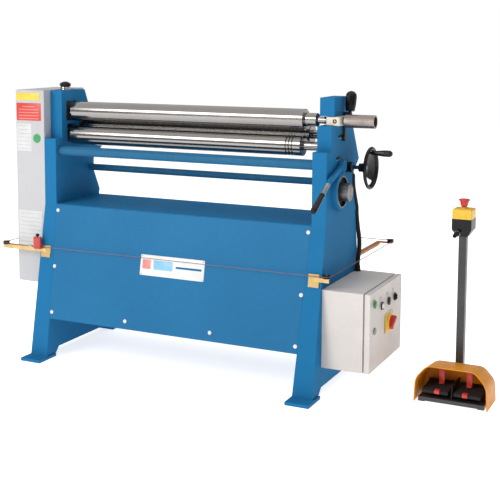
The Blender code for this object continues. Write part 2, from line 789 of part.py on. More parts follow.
def tie_bar(name, y, z, radius):
    """Add one tie bar with a spigot at each end."""
    reach = SPIGOT_DEPTH
    profile = [(-reach, 0.0), (-reach, SPIGOT_RADIUS), (SEAT, SPIGOT_RADIUS), (SEAT, radius),
               (SPAN - SEAT, radius), (SPAN - SEAT, SPIGOT_RADIUS), (SPAN + reach, SPIGOT_RADIUS),
               (SPAN + reach, 0.0)]
    return piece(name, turned(profile, "X", y, z, SMALL_SIDES), "frame_blue")


# Deck and panels

def sheet_between(profile):
    """Return a folded sheet that reaches from leg to leg at every height."""
    count = len(profile)
    points = [(leg_flare(z) + SEAT, y, z) for y, z in profile]
    points += [(SPAN - leg_flare(z) - SEAT, y, z) for y, z in profile]
    faces = [tuple(range(count)), tuple(range(2 * count - 1, count - 1, -1))]
    faces += [(i, (i + 1) % count, (i + 1) % count + count, i + count) for i in range(count)]
    return solid(points, faces)


def deck():
    """Add the deck with its two folded edges."""
    low = DECK_HEIGHT - DECK_FLANGE
    top = DECK_HEIGHT - SHEET
    inset = SHEET + SEAT + leg_lean(DECK_HEIGHT - SHEET)
    profile = [(0.0, DECK_HEIGHT), (0.0, top), (inset, top), (inset, low), (inset + SHEET, low),
               (inset + SHEET, top), (FRAME_REAR - inset - SHEET, top), (FRAME_REAR - inset - SHEET, low),
               (FRAME_REAR - inset, low), (FRAME_REAR - inset, top), (FRAME_REAR, top), (FRAME_REAR, DECK_HEIGHT)]
    return piece("deck", sheet_between(profile), "frame_blue")


def panel(name, rear):
    """Add the front or the rear panel with its lower flange."""
    top = DECK_HEIGHT - SHEET - SEAT
    outside = [(-leg_lean(top), top), (-leg_lean(PANEL_LOW), PANEL_LOW)]
    inside = [(PANEL_FLANGE - leg_lean(PANEL_LOW), PANEL_LOW),
              (PANEL_FLANGE - leg_lean(PANEL_LOW), PANEL_LOW + SHEET),
              (SHEET - leg_lean(PANEL_LOW + SHEET), PANEL_LOW + SHEET), (SHEET - leg_lean(top), top)]
    profile = outside + inside
    if rear:
        profile = [(FRAME_REAR - y, z) for y, z in profile]
    return piece(name, sheet_between(profile), "panel_blue")


def gear_cover():
    """Add the tall sheet cover on the left frame, open towards the gears."""
    def upright(middle, edge):
        """Keep the outer upright and level edges, away from the back."""
        return middle.x < COVER_BACK - COVER_WALL
    shell = eased(block((COVER_START, 0.0, COVER_LOW), (COVER_BACK, COVER_DEPTH, COVER_HIGH)),
                  COVER_ROUND, 2, upright)
    hollow = block((COVER_START + COVER_WALL, COVER_WALL, COVER_LOW + COVER_WALL),
                   (COVER_BACK - COVER_WALL, COVER_DEPTH - COVER_WALL, COVER_HIGH - COVER_WALL))
    opening = block((COVER_BACK - COVER_WALL - OVERRUN, COVER_DOOR_FRONT, COVER_DOOR_LOW),
                    (COVER_BACK + OVERRUN, COVER_DOOR_REAR, COVER_DOOR_HIGH))
    return piece("gear_cover", cut(shell, fused(hollow, opening)), "cover_grey")


# Drive

def gear(name, height, phase):
    """Add one long-tooth gear whose first tooth points at the phase angle."""
    outline = []
    for tooth in range(TEETH):
        middle = math.radians(phase) + math.tau * tooth / TEETH
        stations = [(ROOT_RADIUS, -ROOT_HALF), (MID_RADIUS, -MID_HALF), (TIP_RADIUS, -TIP_HALF),
                    (TIP_RADIUS, TIP_HALF), (MID_RADIUS, MID_HALF), (ROOT_RADIUS, ROOT_HALF)]
        for radius, half in stations:
            angle = middle + half / radius
            outline.append((TOP_Y + radius * math.cos(angle), height + radius * math.sin(angle)))
    body = prism(outline, "X", GEAR_START, GEAR_END)
    bore = rod("X", GEAR_START - OVERRUN, GEAR_END + OVERRUN, LEFT_SHAFT_RADIUS + BORE_CLEARANCE, TOP_Y, height)
    return piece(name, cut(body, bore), "machined_steel", (0.0, TOP_Y, height))


def gearbox():
    """Add the hollow-shaft gearbox with its slotted reaction plate."""
    body = eased(block((GEARBOX_START, TOP_Y - GEARBOX_HALF, LOWER_Z - GEARBOX_HALF),
                       (GEARBOX_END, TOP_Y + GEARBOX_HALF, LOWER_Z + GEARBOX_HALF)), GEARBOX_ROUND, 2)
    plate = block((GEARBOX_END - REACTION_PLATE, TOP_Y - REACTION_HALF, REACTION_LOW),
                  (GEARBOX_END, TOP_Y + REACTION_HALF, LOWER_Z))
    half = REACTION_PIN_RADIUS + SEAT
    slot = block((GEARBOX_END - REACTION_PLATE - OVERRUN, TOP_Y - half, REACTION_LOW - OVERRUN),
                 (GEARBOX_END + OVERRUN, TOP_Y + half, REACTION_SLOT_TOP))
    bore = rod("X", GEARBOX_START - OVERRUN, GEARBOX_END + OVERRUN, LEFT_SHAFT_RADIUS + BORE_CLEARANCE,
               TOP_Y, LOWER_Z)
    return piece("gearbox", cut(fused(body, plate), slot, bore), "drive_grey")


def drive_motor():
    """Add the finned motor that hangs below the gearbox."""
    top = LOWER_Z - GEARBOX_HALF - SEAT
    low = top - MOTOR_LENGTH
    outline = []
    for fin in range(MOTOR_FINS):
        for share, radius in ((0.0, MOTOR_ROOT_RADIUS), (0.35, MOTOR_ROOT_RADIUS),
                              (0.45, MOTOR_RADIUS), (0.9, MOTOR_RADIUS)):
            angle = math.tau * (fin + share) / MOTOR_FINS
            outline.append((MOTOR_X + radius * math.cos(angle), TOP_Y + radius * math.sin(angle)))
    body = prism(outline, "Z", low + MOTOR_CAP, top - MOTOR_FLANGE)
    flange = rod("Z", top - MOTOR_FLANGE - SHEET, top, MOTOR_RADIUS, MOTOR_X, TOP_Y)
    cap = turned([(low, 0.0), (low, MOTOR_ROOT_RADIUS), (low + FRAME_WALL, MOTOR_RADIUS),
                  (low + MOTOR_CAP + SHEET, MOTOR_RADIUS), (low + MOTOR_CAP + SHEET, 0.0)], "Z", MOTOR_X, TOP_Y)
    notch = block((GEARBOX_END - REACTION_PLATE - SHEET, TOP_Y - MOTOR_RADIUS, low - OVERRUN),
                  (GEARBOX_END, TOP_Y + MOTOR_RADIUS, top + OVERRUN))
    return piece("drive_motor", cut(fused(body, flange, cap), notch), "drive_grey")


# Rolls

def top_roll():
    """Add the top roll with its neck, its thin pin and the left drive shaft."""
    profile = [(TOP_SHAFT_START, 0.0), (TOP_SHAFT_START, LEFT_SHAFT_RADIUS),
               (TOP_BODY_START, LEFT_SHAFT_RADIUS), (TOP_BODY_START, ROLL_RADIUS - ROLL_CHAMFER),
               (TOP_BODY_START + ROLL_CHAMFER, ROLL_RADIUS), (TOP_BODY_END - ROLL_CHAMFER, ROLL_RADIUS),
               (TOP_BODY_END, ROLL_RADIUS - ROLL_CHAMFER), (TOP_BODY_END, TOP_NECK_RADIUS),
               (TOP_NECK_END - ROLL_CHAMFER, TOP_NECK_RADIUS), (TOP_NECK_END, TOP_NECK_RADIUS - ROLL_CHAMFER),
               (TOP_NECK_END, TOP_PIN_RADIUS), (TOP_PIN_END, TOP_PIN_RADIUS), (TOP_PIN_END, 0.0)]
    mesh = turned(profile, "X", TOP_Y, TOP_Z, ROLL_SIDES)
    return piece("top_roll", mesh, "roll_steel", (0.0, TOP_Y, TOP_Z))


def grooved_body():
    """Return the lower roll's profile points along its grooved right end."""
    points = []
    for index in range(GROOVE_COUNT):
        start = GROOVE_FIRST + index * GROOVE_PITCH
        floor = ROLL_RADIUS - GROOVE_DEPTH
        points += [(start, ROLL_RADIUS), (start + GROOVE_WIDTH / 4, floor),
                   (start + GROOVE_WIDTH * 3 / 4, floor), (start + GROOVE_WIDTH, ROLL_RADIUS)]
    return points


def lower_roll():
    """Add the lower roll with its wire grooves and the long left shaft."""
    end = SPAN + PIVOT_END_DEPTH
    profile = [(LOWER_SHAFT_START, 0.0), (LOWER_SHAFT_START, LEFT_SHAFT_RADIUS),
               (LOWER_BODY_START, LEFT_SHAFT_RADIUS), (LOWER_BODY_START, ROLL_RADIUS - ROLL_CHAMFER),
               (LOWER_BODY_START + ROLL_CHAMFER, ROLL_RADIUS)]
    profile += grooved_body()
    profile += [(LOWER_BODY_END - ROLL_CHAMFER, ROLL_RADIUS), (LOWER_BODY_END, ROLL_RADIUS - ROLL_CHAMFER),
                (LOWER_BODY_END, LEFT_SHAFT_RADIUS), (end, LEFT_SHAFT_RADIUS), (end, 0.0)]
    mesh = turned(profile, "X", TOP_Y, LOWER_Z, ROLL_SIDES)
    return piece("lower_roll", mesh, "roll_steel", (0.0, TOP_Y, LOWER_Z))


def rear_roll():
    """Add the rear bending roll with a journal at each end."""
    end = SPAN + PIVOT_END_DEPTH
    profile = [(-PIVOT_END_DEPTH, 0.0), (-PIVOT_END_DEPTH, LEFT_SHAFT_RADIUS),
               (REAR_BODY_START, LEFT_SHAFT_RADIUS), (REAR_BODY_START, ROLL_RADIUS - ROLL_CHAMFER),
               (REAR_BODY_START + ROLL_CHAMFER, ROLL_RADIUS), (REAR_BODY_END - ROLL_CHAMFER, ROLL_RADIUS),
               (REAR_BODY_END, ROLL_RADIUS - ROLL_CHAMFER), (REAR_BODY_END, LEFT_SHAFT_RADIUS),
               (end, LEFT_SHAFT_RADIUS), (end, 0.0)]
    mesh = turned(profile, "X", REAR_Y, REAR_Z, ROLL_SIDES)
    return piece("rear_roll", mesh, "roll_steel", (0.0, REAR_Y, REAR_Z))


def bearing(name, outward, y, z, half_y, half_z, lean):
    """Add one sliding bearing block inside its pocket."""
    inner = 0.0 if outward < 0 else SPAN
    low, high = span(inner + outward * SEAT, inner + outward * (POCKET_DEPTH - BEARING_INSET))
    body = eased(block((low, y - half_y, z - half_z), (high, y + half_y, z + half_z)), BEARING_CHAMFER)
    bore = rod("X", low - OVERRUN, high + OVERRUN, LEFT_SHAFT_RADIUS + BORE_CLEARANCE, y, z)
    mesh = moved(cut(body, bore), turn(lean, "X", (0.0, y, z)))
    return piece(name, mesh, "bearing_steel", (0.0, y, z))


def roll_yoke():
    """Add the carrier that swings about its upright trunnions in the left frame."""
    body = eased(block((SWING_X - YOKE_HALF_X, TOP_Y - YOKE_HALF_Y, YOKE_LOW),
                       (SWING_X + YOKE_HALF_X, TOP_Y + YOKE_HALF_Y, YOKE_HIGH)), BEARING_CHAMFER, 1,
                 lambda middle, edge: abs(edge.verts[0].co.z - edge.verts[1].co.z) > YOKE_HALF_X)
    trunnion = rod("Z", YOKE_LOW - TRUNNION_DROP, TRUNNION_TOP, TRUNNION_RADIUS, SWING_X, TOP_Y, SMALL_SIDES)
    bore = rod("X", SWING_X - YOKE_HALF_X - OVERRUN, SWING_X + YOKE_HALF_X + OVERRUN,
               LEFT_SHAFT_RADIUS + BORE_CLEARANCE, TOP_Y, TOP_Z)
    mesh = cut(fused(body, trunnion), bore)
    return piece("roll_yoke", mesh, "bearing_steel", (SWING_X, TOP_Y, TOP_Z))


def swing_bearing():
    """Add the right bearing block that leaves its slot when the roll swings out."""
    body = eased(block((BLOCK_START, BLOCK_FRONT, TOP_Z - BLOCK_HALF_HEIGHT),
                       (BLOCK_END, BLOCK_REAR, TOP_Z + BLOCK_HALF_HEIGHT)), BLOCK_CHAMFER)
    bore = rod("X", BLOCK_START - OVERRUN, BLOCK_END + OVERRUN, TOP_PIN_RADIUS + BORE_CLEARANCE, TOP_Y, TOP_Z)
    hole = rod("Y", BLOCK_FRONT - OVERRUN, BLOCK_FRONT + BLOCK_HOLE_DEPTH, BLOCK_HOLE_RADIUS,
               TOP_Z, BLOCK_HOLE_X, SMALL_SIDES)
    return piece("swing_bearing", cut(body, bore, hole), "bearing_steel", (SWING_X, TOP_Y, TOP_Z))


def pull_tube():
    """Add the hollow tube on the roll's free end."""
    inner = TOP_PIN_RADIUS + BORE_CLEARANCE
    profile = [(TUBE_START, inner), (TUBE_START, TUBE_RADIUS), (TUBE_END, TUBE_RADIUS),
               (TUBE_END, TUBE_MOUTH_RADIUS), (TUBE_END - TUBE_MOUTH_DEPTH, TUBE_MOUTH_RADIUS),
               (TUBE_END - TUBE_MOUTH_DEPTH, inner)]
    mesh = turned(profile, "X", TOP_Y, TOP_Z, ROUND_SIDES, ring=True)
    return piece("pull_tube", mesh, "tube_steel", (0.0, TOP_Y, TOP_Z))


def lubricator_cap():
    """Add the winged cap over the upper trunnion."""
    top = CAP_START + CAP_HEIGHT
    body = turned([(CAP_START, 0.0), (CAP_START, CAP_RADIUS * 0.8), (CAP_START + SHEET, CAP_RADIUS),
                   (CAP_START + CAP_HEIGHT * 0.55, CAP_RADIUS), (CAP_START + CAP_HEIGHT * 0.85, CAP_RADIUS * 0.75),
                   (top, CAP_RADIUS * 0.35), (top, 0.0)], "Z", SWING_X, TOP_Y, SMALL_SIDES)
    wing = block((SWING_X - WING_HALF_LENGTH, TOP_Y - WING_HALF_WIDTH, CAP_START + SHEET),
                 (SWING_X + WING_HALF_LENGTH, TOP_Y + WING_HALF_WIDTH, CAP_START + SHEET + WING_HEIGHT))
    return piece("lubricator_cap", fused(body, wing), "black_plastic", (SWING_X, TOP_Y, CAP_START))


# Levers and handwheel on the right frame

def eccentric_shaft():
    """Add the polished eccentric shaft that turns with the pinch lever."""
    start = RIGHT_OUTER - HOUSING_DEPTH + SEAT
    end = RIGHT_OUTER + ECCENTRIC_REACH
    low = start - ECCENTRIC_STUB_DEPTH
    profile = [(low, 0.0), (low, ECCENTRIC_STUB_RADIUS), (start, ECCENTRIC_STUB_RADIUS), (start, ECCENTRIC_RADIUS),
               (end - ECCENTRIC_CHAMFER, ECCENTRIC_RADIUS), (end, ECCENTRIC_RADIUS - ECCENTRIC_CHAMFER), (end, 0.0)]
    mesh = turned(profile, "X", ECCENTRIC_Y, ECCENTRIC_Z, ROUND_SIDES)
    return piece("eccentric_shaft", mesh, "roll_steel", (RIGHT_OUTER, ECCENTRIC_Y, ECCENTRIC_Z))


def along_arm(y0, z0, y1, z1, x):
    """Return the matrix that lays a piece turned about Z along a line in the lever's plane."""
    direction = Vector((0.0, y1 - y0, z1 - z0)).normalized()
    return Matrix.Translation((x, y0, z0)) @ direction.to_track_quat("Z", "X").to_matrix().to_4x4()


def pinch_lever():
    """Add the pinch lever with its hub, its tapered arm and the rod of the grip."""
    near = RIGHT_OUTER + PINCH_NEAR
    far = near + PINCH_THICKNESS
    middle = (near + far) / 2
    hub = rod("X", near, far, PINCH_HUB_RADIUS, PINCH_Y, PINCH_Z)
    washer = rod("X", RIGHT_OUTER + SEAT, near + SHEET, PINCH_HUB_RADIUS * 0.7, PINCH_Y, PINCH_Z)
    stub = rod("X", RIGHT_OUTER - STUB_DEPTH, near + SHEET, STUB_RADIUS, PINCH_Y, PINCH_Z)
    run = Vector((PINCH_ELBOW_Y - PINCH_Y, PINCH_ELBOW_Z - PINCH_Z))
    side = Vector((-run.y, run.x)).normalized()
    start = Vector((PINCH_Y, PINCH_Z))
    end = Vector((PINCH_ELBOW_Y, PINCH_ELBOW_Z))
    corners = [start + side * PINCH_ARM_HALF, end + side * PINCH_ARM_END_HALF,
               end + run.normalized() * PINCH_ARM_END_HALF, end - side * PINCH_ARM_END_HALF,
               start - side * PINCH_ARM_HALF]
    arm = prism([tuple(corner) for corner in corners], "X", near + SHEET / 2, far - SHEET / 2)
    length = math.hypot(PINCH_END_Y - PINCH_ELBOW_Y, PINCH_END_Z - PINCH_ELBOW_Z)
    bar = moved(rod("Z", -PINCH_ROD_RADIUS, length - PINCH_GRIP_BALL, PINCH_ROD_RADIUS, sides=SMALL_SIDES),
                along_arm(PINCH_ELBOW_Y, PINCH_ELBOW_Z, PINCH_END_Y, PINCH_END_Z, middle))
    return piece("pinch_lever", fused(hub, washer, stub, arm, bar), "frame_blue", (RIGHT_OUTER, PINCH_Y, PINCH_Z))


def pinch_grip():
    """Add the black grip on the pinch lever's rod."""
    middle = RIGHT_OUTER + PINCH_NEAR + PINCH_THICKNESS / 2
    length = math.hypot(PINCH_END_Y - PINCH_ELBOW_Y, PINCH_END_Z - PINCH_ELBOW_Z)
    bore = PINCH_ROD_RADIUS + BORE_CLEARANCE
    start = PINCH_ARM_END_HALF + SHEET
    blind = length - PINCH_GRIP_BALL + SEAT
    profile = [(start, bore), (start, PINCH_GRIP_RADIUS * 0.85), (start + PINCH_GRIP_BALL, PINCH_GRIP_RADIUS),
               (length - PINCH_GRIP_BALL, PINCH_GRIP_END_RADIUS), (length - PINCH_GRIP_BALL * 0.4,
               PINCH_GRIP_END_RADIUS * 0.8), (length, PINCH_GRIP_END_RADIUS * 0.4), (length, 0.0), (length, 0.0)]
    outer = turned([(start, 0.0)] + profile[1:-1], "Z", sides=SMALL_SIDES)
    drill = rod("Z", start - OVERRUN, blind, bore, sides=SMALL_SIDES)
    mesh = moved(cut(outer, drill), along_arm(PINCH_ELBOW_Y, PINCH_ELBOW_Z, PINCH_END_Y, PINCH_END_Z, middle))
    return piece("pinch_grip", mesh, "black_plastic", (RIGHT_OUTER, PINCH_Y, PINCH_Z))


def handwheel_spindle():
    """Add the spindle that carries the handwheel."""
    mesh = rod("X", RIGHT_OUTER - SPINDLE_DEPTH, HUB_END, SPINDLE_RADIUS, WHEEL_Y, WHEEL_Z, SMALL_SIDES)
    return piece("handwheel_spindle", mesh, "roll_steel", (RIGHT_OUTER, WHEEL_Y, WHEEL_Z))


def crescent():
    """Return the cutter of the wheel's crescent opening."""
    outline = []
    sweep = CRESCENT_SWEEP_DEGREES / (CRESCENT_STEPS - 1)
    for step in range(CRESCENT_STEPS):
        angle = math.radians(CRESCENT_START_DEGREES + sweep * step)
        outline.append((WHEEL_Y + CRESCENT_OUTER * math.cos(angle), WHEEL_Z + CRESCENT_OUTER * math.sin(angle)))
    for step in reversed(range(1, CRESCENT_STEPS - 1)):
        angle = math.radians(CRESCENT_START_DEGREES + sweep * step)
        ease = math.sin(math.pi * step / (CRESCENT_STEPS - 1))
        radius = CRESCENT_OUTER - (CRESCENT_OUTER - CRESCENT_INNER) * ease ** 0.6
        outline.append((WHEEL_Y + radius * math.cos(angle), WHEEL_Z + radius * math.sin(angle)))
    return prism(outline, "X", HUB_START - OVERRUN, RIM_X + RIM_HALF + OVERRUN)


def handwheel():
    """Add the dished handwheel with its hub, rim and crescent opening."""
    bore = SPINDLE_RADIUS + BORE_CLEARANCE
    ring = WHEEL_RADIUS - RIM_HALF
    profile = [(HUB_START, bore), (HUB_START, HUB_RADIUS), (HUB_START + COLLAR_LENGTH / 2, HUB_RADIUS),
               (HUB_END - WEB_THICKNESS, HUB_FLARE_RADIUS), (RIM_X - WEB_THICKNESS - SHEET, WEB_RADIUS),
               (RIM_X - RIM_HALF, ring), (RIM_X - RIM_HALF * 0.6, WHEEL_RADIUS - RIM_HALF * 0.3),
               (RIM_X, WHEEL_RADIUS), (RIM_X + RIM_HALF * 0.6, WHEEL_RADIUS - RIM_HALF * 0.3),
               (RIM_X + RIM_HALF, ring), (RIM_X + RIM_HALF * 0.5, ring - RIM_HALF * 0.8),
               (RIM_X - SHEET, WEB_RADIUS), (HUB_END, HUB_FLARE_RADIUS), (HUB_END, bore)]
    mesh = turned(profile, "X", WHEEL_Y, WHEEL_Z, ROLL_SIDES, ring=True)
    pin_bore = rod("X", HUB_START, RIM_X + RIM_HALF, CRANK_PIN_RADIUS + BORE_CLEARANCE,
                   WHEEL_Y, WHEEL_Z + CRANK_RADIUS, SMALL_SIDES)
    mesh = cut(mesh, crescent(), pin_bore)
    return piece("handwheel", mesh, "black_plastic", (RIGHT_OUTER, WHEEL_Y, WHEEL_Z))


def handwheel_grip():
    """Add the crank grip that spins on its own pin."""
    height = WHEEL_Z + CRANK_RADIUS
    start = RIM_X - WEB_THICKNESS - SHEET
    profile = [(start, 0.0), (start, CRANK_PIN_RADIUS), (CRANK_GRIP_START, CRANK_PIN_RADIUS),
               (CRANK_GRIP_START, CRANK_GRIP_NECK), (CRANK_GRIP_START + CRANK_GRIP_RADIUS, CRANK_GRIP_NECK),
               (CRANK_GRIP_END - CRANK_GRIP_RADIUS * 2.5, CRANK_GRIP_RADIUS),
               (CRANK_GRIP_END - CRANK_GRIP_RADIUS * 0.6, CRANK_GRIP_RADIUS),
               (CRANK_GRIP_END, CRANK_GRIP_RADIUS * 0.55), (CRANK_GRIP_END, 0.0)]
    mesh = turned(profile, "X", WHEEL_Y, height, SMALL_SIDES)
    return piece("handwheel_grip", mesh, "black_plastic", (CRANK_GRIP_START, WHEEL_Y, height))


def release_lever():
    """Add the steel bar of the release lever with its hub and the rod of its grip."""
    near = RIGHT_OUTER + RELEASE_NEAR
    far = near + RELEASE_THICKNESS
    hub = rod("X", RIGHT_OUTER + SEAT, far, RELEASE_HUB_RADIUS, RELEASE_Y, RELEASE_Z)
    stub = rod("X", RIGHT_OUTER - STUB_DEPTH, near, RELEASE_STUB_RADIUS, RELEASE_Y, RELEASE_Z, SMALL_SIDES)
    bar = block((near, RELEASE_Y - RELEASE_HALF, RELEASE_Z), (far, RELEASE_Y + RELEASE_HALF, RELEASE_BAR_TOP))
    crank = block((near, RELEASE_Y - RELEASE_HALF, RELEASE_BAR_TOP - RELEASE_THICKNESS),
                  (RELEASE_ROD_X + RELEASE_ROD_RADIUS, RELEASE_Y + RELEASE_HALF, RELEASE_BAR_TOP + SHEET))
    stem = moved(rod("Z", -RELEASE_ROD_RADIUS / 2, RELEASE_TOP - RELEASE_BAR_TOP - RELEASE_ROD_RADIUS * 2,
                     RELEASE_ROD_RADIUS, sides=SMALL_SIDES), release_axis())
    return piece("release_lever", fused(hub, stub, bar, crank, stem), "bearing_steel",
                 (RIGHT_OUTER, RELEASE_Y, RELEASE_Z))


def release_axis():
    """Return the matrix of the grip's leaning axis."""
    return along_arm(RELEASE_Y, RELEASE_BAR_TOP, RELEASE_Y + RELEASE_LEAN, RELEASE_TOP, RELEASE_ROD_X)


def release_grip():
    """Add the thick domed grip of the release lever."""
    start = RELEASE_GRIP_LOW - RELEASE_BAR_TOP
    end = RELEASE_TOP - RELEASE_BAR_TOP
    radius = RELEASE_GRIP_RADIUS
    outer = turned([(start, 0.0), (start, RELEASE_GRIP_NECK), (start + radius, radius * 0.95),
                    (end - radius, radius), (end - radius * 0.5, radius * 0.9), (end - radius * 0.12, radius * 0.55),
                    (end, radius * 0.2), (end, 0.0)], "Z", sides=SMALL_SIDES)
    drill = rod("Z", start - OVERRUN, end - RELEASE_ROD_RADIUS * 2 + SEAT, RELEASE_ROD_RADIUS + BORE_CLEARANCE,
                sides=SMALL_SIDES)
    return piece("release_grip", moved(cut(outer, drill), release_axis()), "black_plastic",
                 (RIGHT_OUTER, RELEASE_Y, RELEASE_Z))


# Trip wire

def pulley(name, x, y):
    """Add one grooved pulley on an upright pin."""
    lip = PULLEY_HALF - PULLEY_LIP
    bore = PULLEY_PIN + BORE_CLEARANCE
    profile = [(WIRE_Z - PULLEY_HALF, bore), (WIRE_Z - PULLEY_HALF, PULLEY_RADIUS), (WIRE_Z - lip, PULLEY_RADIUS),
               (WIRE_Z - WIRE_RADIUS, PULLEY_GROOVE), (WIRE_Z + WIRE_RADIUS, PULLEY_GROOVE),
               (WIRE_Z + lip, PULLEY_RADIUS), (WIRE_Z + PULLEY_HALF, PULLEY_RADIUS), (WIRE_Z + PULLEY_HALF, bore)]
    mesh = turned(profile, "Z", x, y, SMALL_SIDES, ring=True)
    return piece(name, mesh, "orange_paint", (x, y, WIRE_Z))


def arm_level():
    """Return the height of the top of every pulley arm."""
    return WIRE_Z - PULLEY_HALF - SEAT


def pulley_pin(x, y):
    """Return the pin on which a pulley turns."""
    low = arm_level() - ARM_THICKNESS / 2
    return rod("Z", low, WIRE_Z + PULLEY_HALF + WIRE_RADIUS, PULLEY_PIN, x, y, SMALL_SIDES)


def leg_plate(start, end, rear):
    """Return the upright plate that follows the leg's sloping face."""
    gap = SEAT
    outline = [(-leg_lean(BRACKET_LOW) - gap, BRACKET_LOW), (-leg_lean(BRACKET_HIGH) - gap, BRACKET_HIGH),
               (-leg_lean(BRACKET_HIGH) - gap - ARM_THICKNESS, BRACKET_HIGH),
               (-leg_lean(BRACKET_LOW) - gap - ARM_THICKNESS, BRACKET_LOW)]
    if rear:
        outline = [(FRAME_REAR - y, z) for y, z in outline]
    return prism(outline, "X", start, end)


def bracket_face():
    """Return how far the back of a front bracket's web lies ahead of the head."""
    return -leg_lean(arm_level() - ARM_WEB) - SEAT


def front_bracket(name, start, end, pulley_x):
    """Add a front bracket with the arm that carries its pulley."""
    top = arm_level()
    reach = bracket_face()
    low, high = span(pulley_x, (start + end) / 2)
    ends = (low - ARM_HALF, high) if pulley_x < start else (low, high + ARM_HALF)
    front = reach - ARM_THICKNESS
    back = -leg_lean(top - ARM_THICKNESS) - SEAT
    angle = [(front, top - ARM_WEB), (reach, top - ARM_WEB), (reach, top - ARM_THICKNESS),
             (reach + ARM_HALF, top - ARM_THICKNESS), (reach + ARM_HALF, top), (front, top)]
    arm = prism(angle, "X", ends[0], ends[1])
    if pulley_x > start:
        trim = block((ends[0] - OVERRUN, back, top - ARM_WEB - OVERRUN),
                     (RIGHT_OUTER + SEAT, FRAME_REAR, top + OVERRUN))
    else:
        trim = block((LEFT_OUTER - SEAT, back, top - ARM_WEB - OVERRUN),
                     (ends[1] + OVERRUN, FRAME_REAR, top + OVERRUN))
    arm = cut(arm, trim)
    mesh = fused(leg_plate(start, end, False), arm, pulley_pin(pulley_x, PULLEY_FRONT))
    return piece(name, mesh, "orange_paint")


def rear_arm(name, start, end, pulley_x):
    """Add a rear arm that runs back from its frame and across to its pulley."""
    top = arm_level()
    middle = (start + end) / 2
    face = FRAME_REAR - bracket_face()
    toward = -1 if pulley_x < middle else 1
    near, far = middle + toward * ARM_HALF, middle - toward * ARM_HALF
    tip = pulley_x + toward * ARM_HALF
    plan = [(far, face), (near, face), (near, PULLEY_REAR - ARM_HALF), (tip, PULLEY_REAR - ARM_HALF),
            (tip, PULLEY_REAR + ARM_HALF), (far, PULLEY_REAR + ARM_HALF)]
    run = prism(plan, "Z", top - ARM_THICKNESS, top)
    rib = block((middle - ARM_THICKNESS / 2, face, top - ARM_WEB),
                (middle + ARM_THICKNESS / 2, PULLEY_REAR, top - ARM_THICKNESS / 2))
    mesh = fused(leg_plate(start, end, True), run, rib, pulley_pin(pulley_x, PULLEY_REAR))
    return piece(name, mesh, "orange_paint")


def trip_switch():
    """Add the rope switch on the left bracket's arm, with a socket for each end of the wire."""
    back = bracket_face() - ARM_THICKNESS - SEAT
    body = eased(block((SWITCH_START, back - SWITCH_DEPTH, SWITCH_LOW), (SWITCH_END, back, SWITCH_HIGH)), SWITCH_ROUND)
    socket = rod("X", SWITCH_START - OVERRUN, SWITCH_END + OVERRUN, WIRE_RADIUS + SEAT, WIRE_FRONT, WIRE_Z, SMALL_SIDES)
    wall = block((SWITCH_START + OVERRUN, back - SWITCH_DEPTH + SHEET, SWITCH_LOW + SHEET),
                 (SWITCH_END - OVERRUN, back - SHEET, SWITCH_HIGH - SHEET))
    hole = rod("Z", SWITCH_HIGH - SHEET - OVERRUN, SWITCH_HIGH + OVERRUN, RESET_RADIUS / 2 + SEAT,
               (SWITCH_START + SWITCH_END) / 2, back - SWITCH_DEPTH / 2, SMALL_SIDES)
    return piece("trip_switch", cut(body, wall, socket, hole), "red_paint")


def trip_reset():
    """Add the reset plunger on top of the rope switch."""
    back = bracket_face() - ARM_THICKNESS - SEAT
    x = (SWITCH_START + SWITCH_END) / 2
    y = back - SWITCH_DEPTH / 2
    low = SWITCH_HIGH + RESET_TRAVEL + SEAT
    profile = [(SWITCH_HIGH - SHEET - RESET_TRAVEL, 0.0), (SWITCH_HIGH - SHEET - RESET_TRAVEL, RESET_RADIUS / 2),
               (low, RESET_RADIUS / 2), (low, RESET_RADIUS), (low + RESET_HEIGHT * 0.7, RESET_RADIUS),
               (low + RESET_HEIGHT, RESET_RADIUS * 0.6), (low + RESET_HEIGHT, 0.0)]
    return piece("trip_reset", turned(profile, "Z", x, y, SMALL_SIDES), "black_plastic", (x, y, SWITCH_HIGH))


def corner(x, y, start_degrees):
    """Return the wire's quarter turn round a pulley."""
    points = []
    for step in range(5):
        angle = math.radians(start_degrees - 90.0 * step / 4)
        points.append((x + WIRE_REACH * math.cos(angle), y + WIRE_REACH * math.sin(angle), WIRE_Z))
    return points


def trip_wire():
    """Add the wire that runs from the switch round all four pulleys and back."""
    inside = SWITCH_ROUND
    path = [(SWITCH_START + inside, WIRE_FRONT, WIRE_Z)]
    path += corner(PULLEY_LEFT, PULLEY_FRONT, 270.0)
    path += corner(PULLEY_LEFT, PULLEY_REAR, 180.0)
    path += corner(PULLEY_RIGHT, PULLEY_REAR, 90.0)
    path += corner(PULLEY_RIGHT, PULLEY_FRONT, 0.0)
    path += [(SWITCH_END - inside, WIRE_FRONT, WIRE_Z)]
    return piece("trip_wire", swept(path, WIRE_RADIUS, 6), "wire_steel")


# Conduit

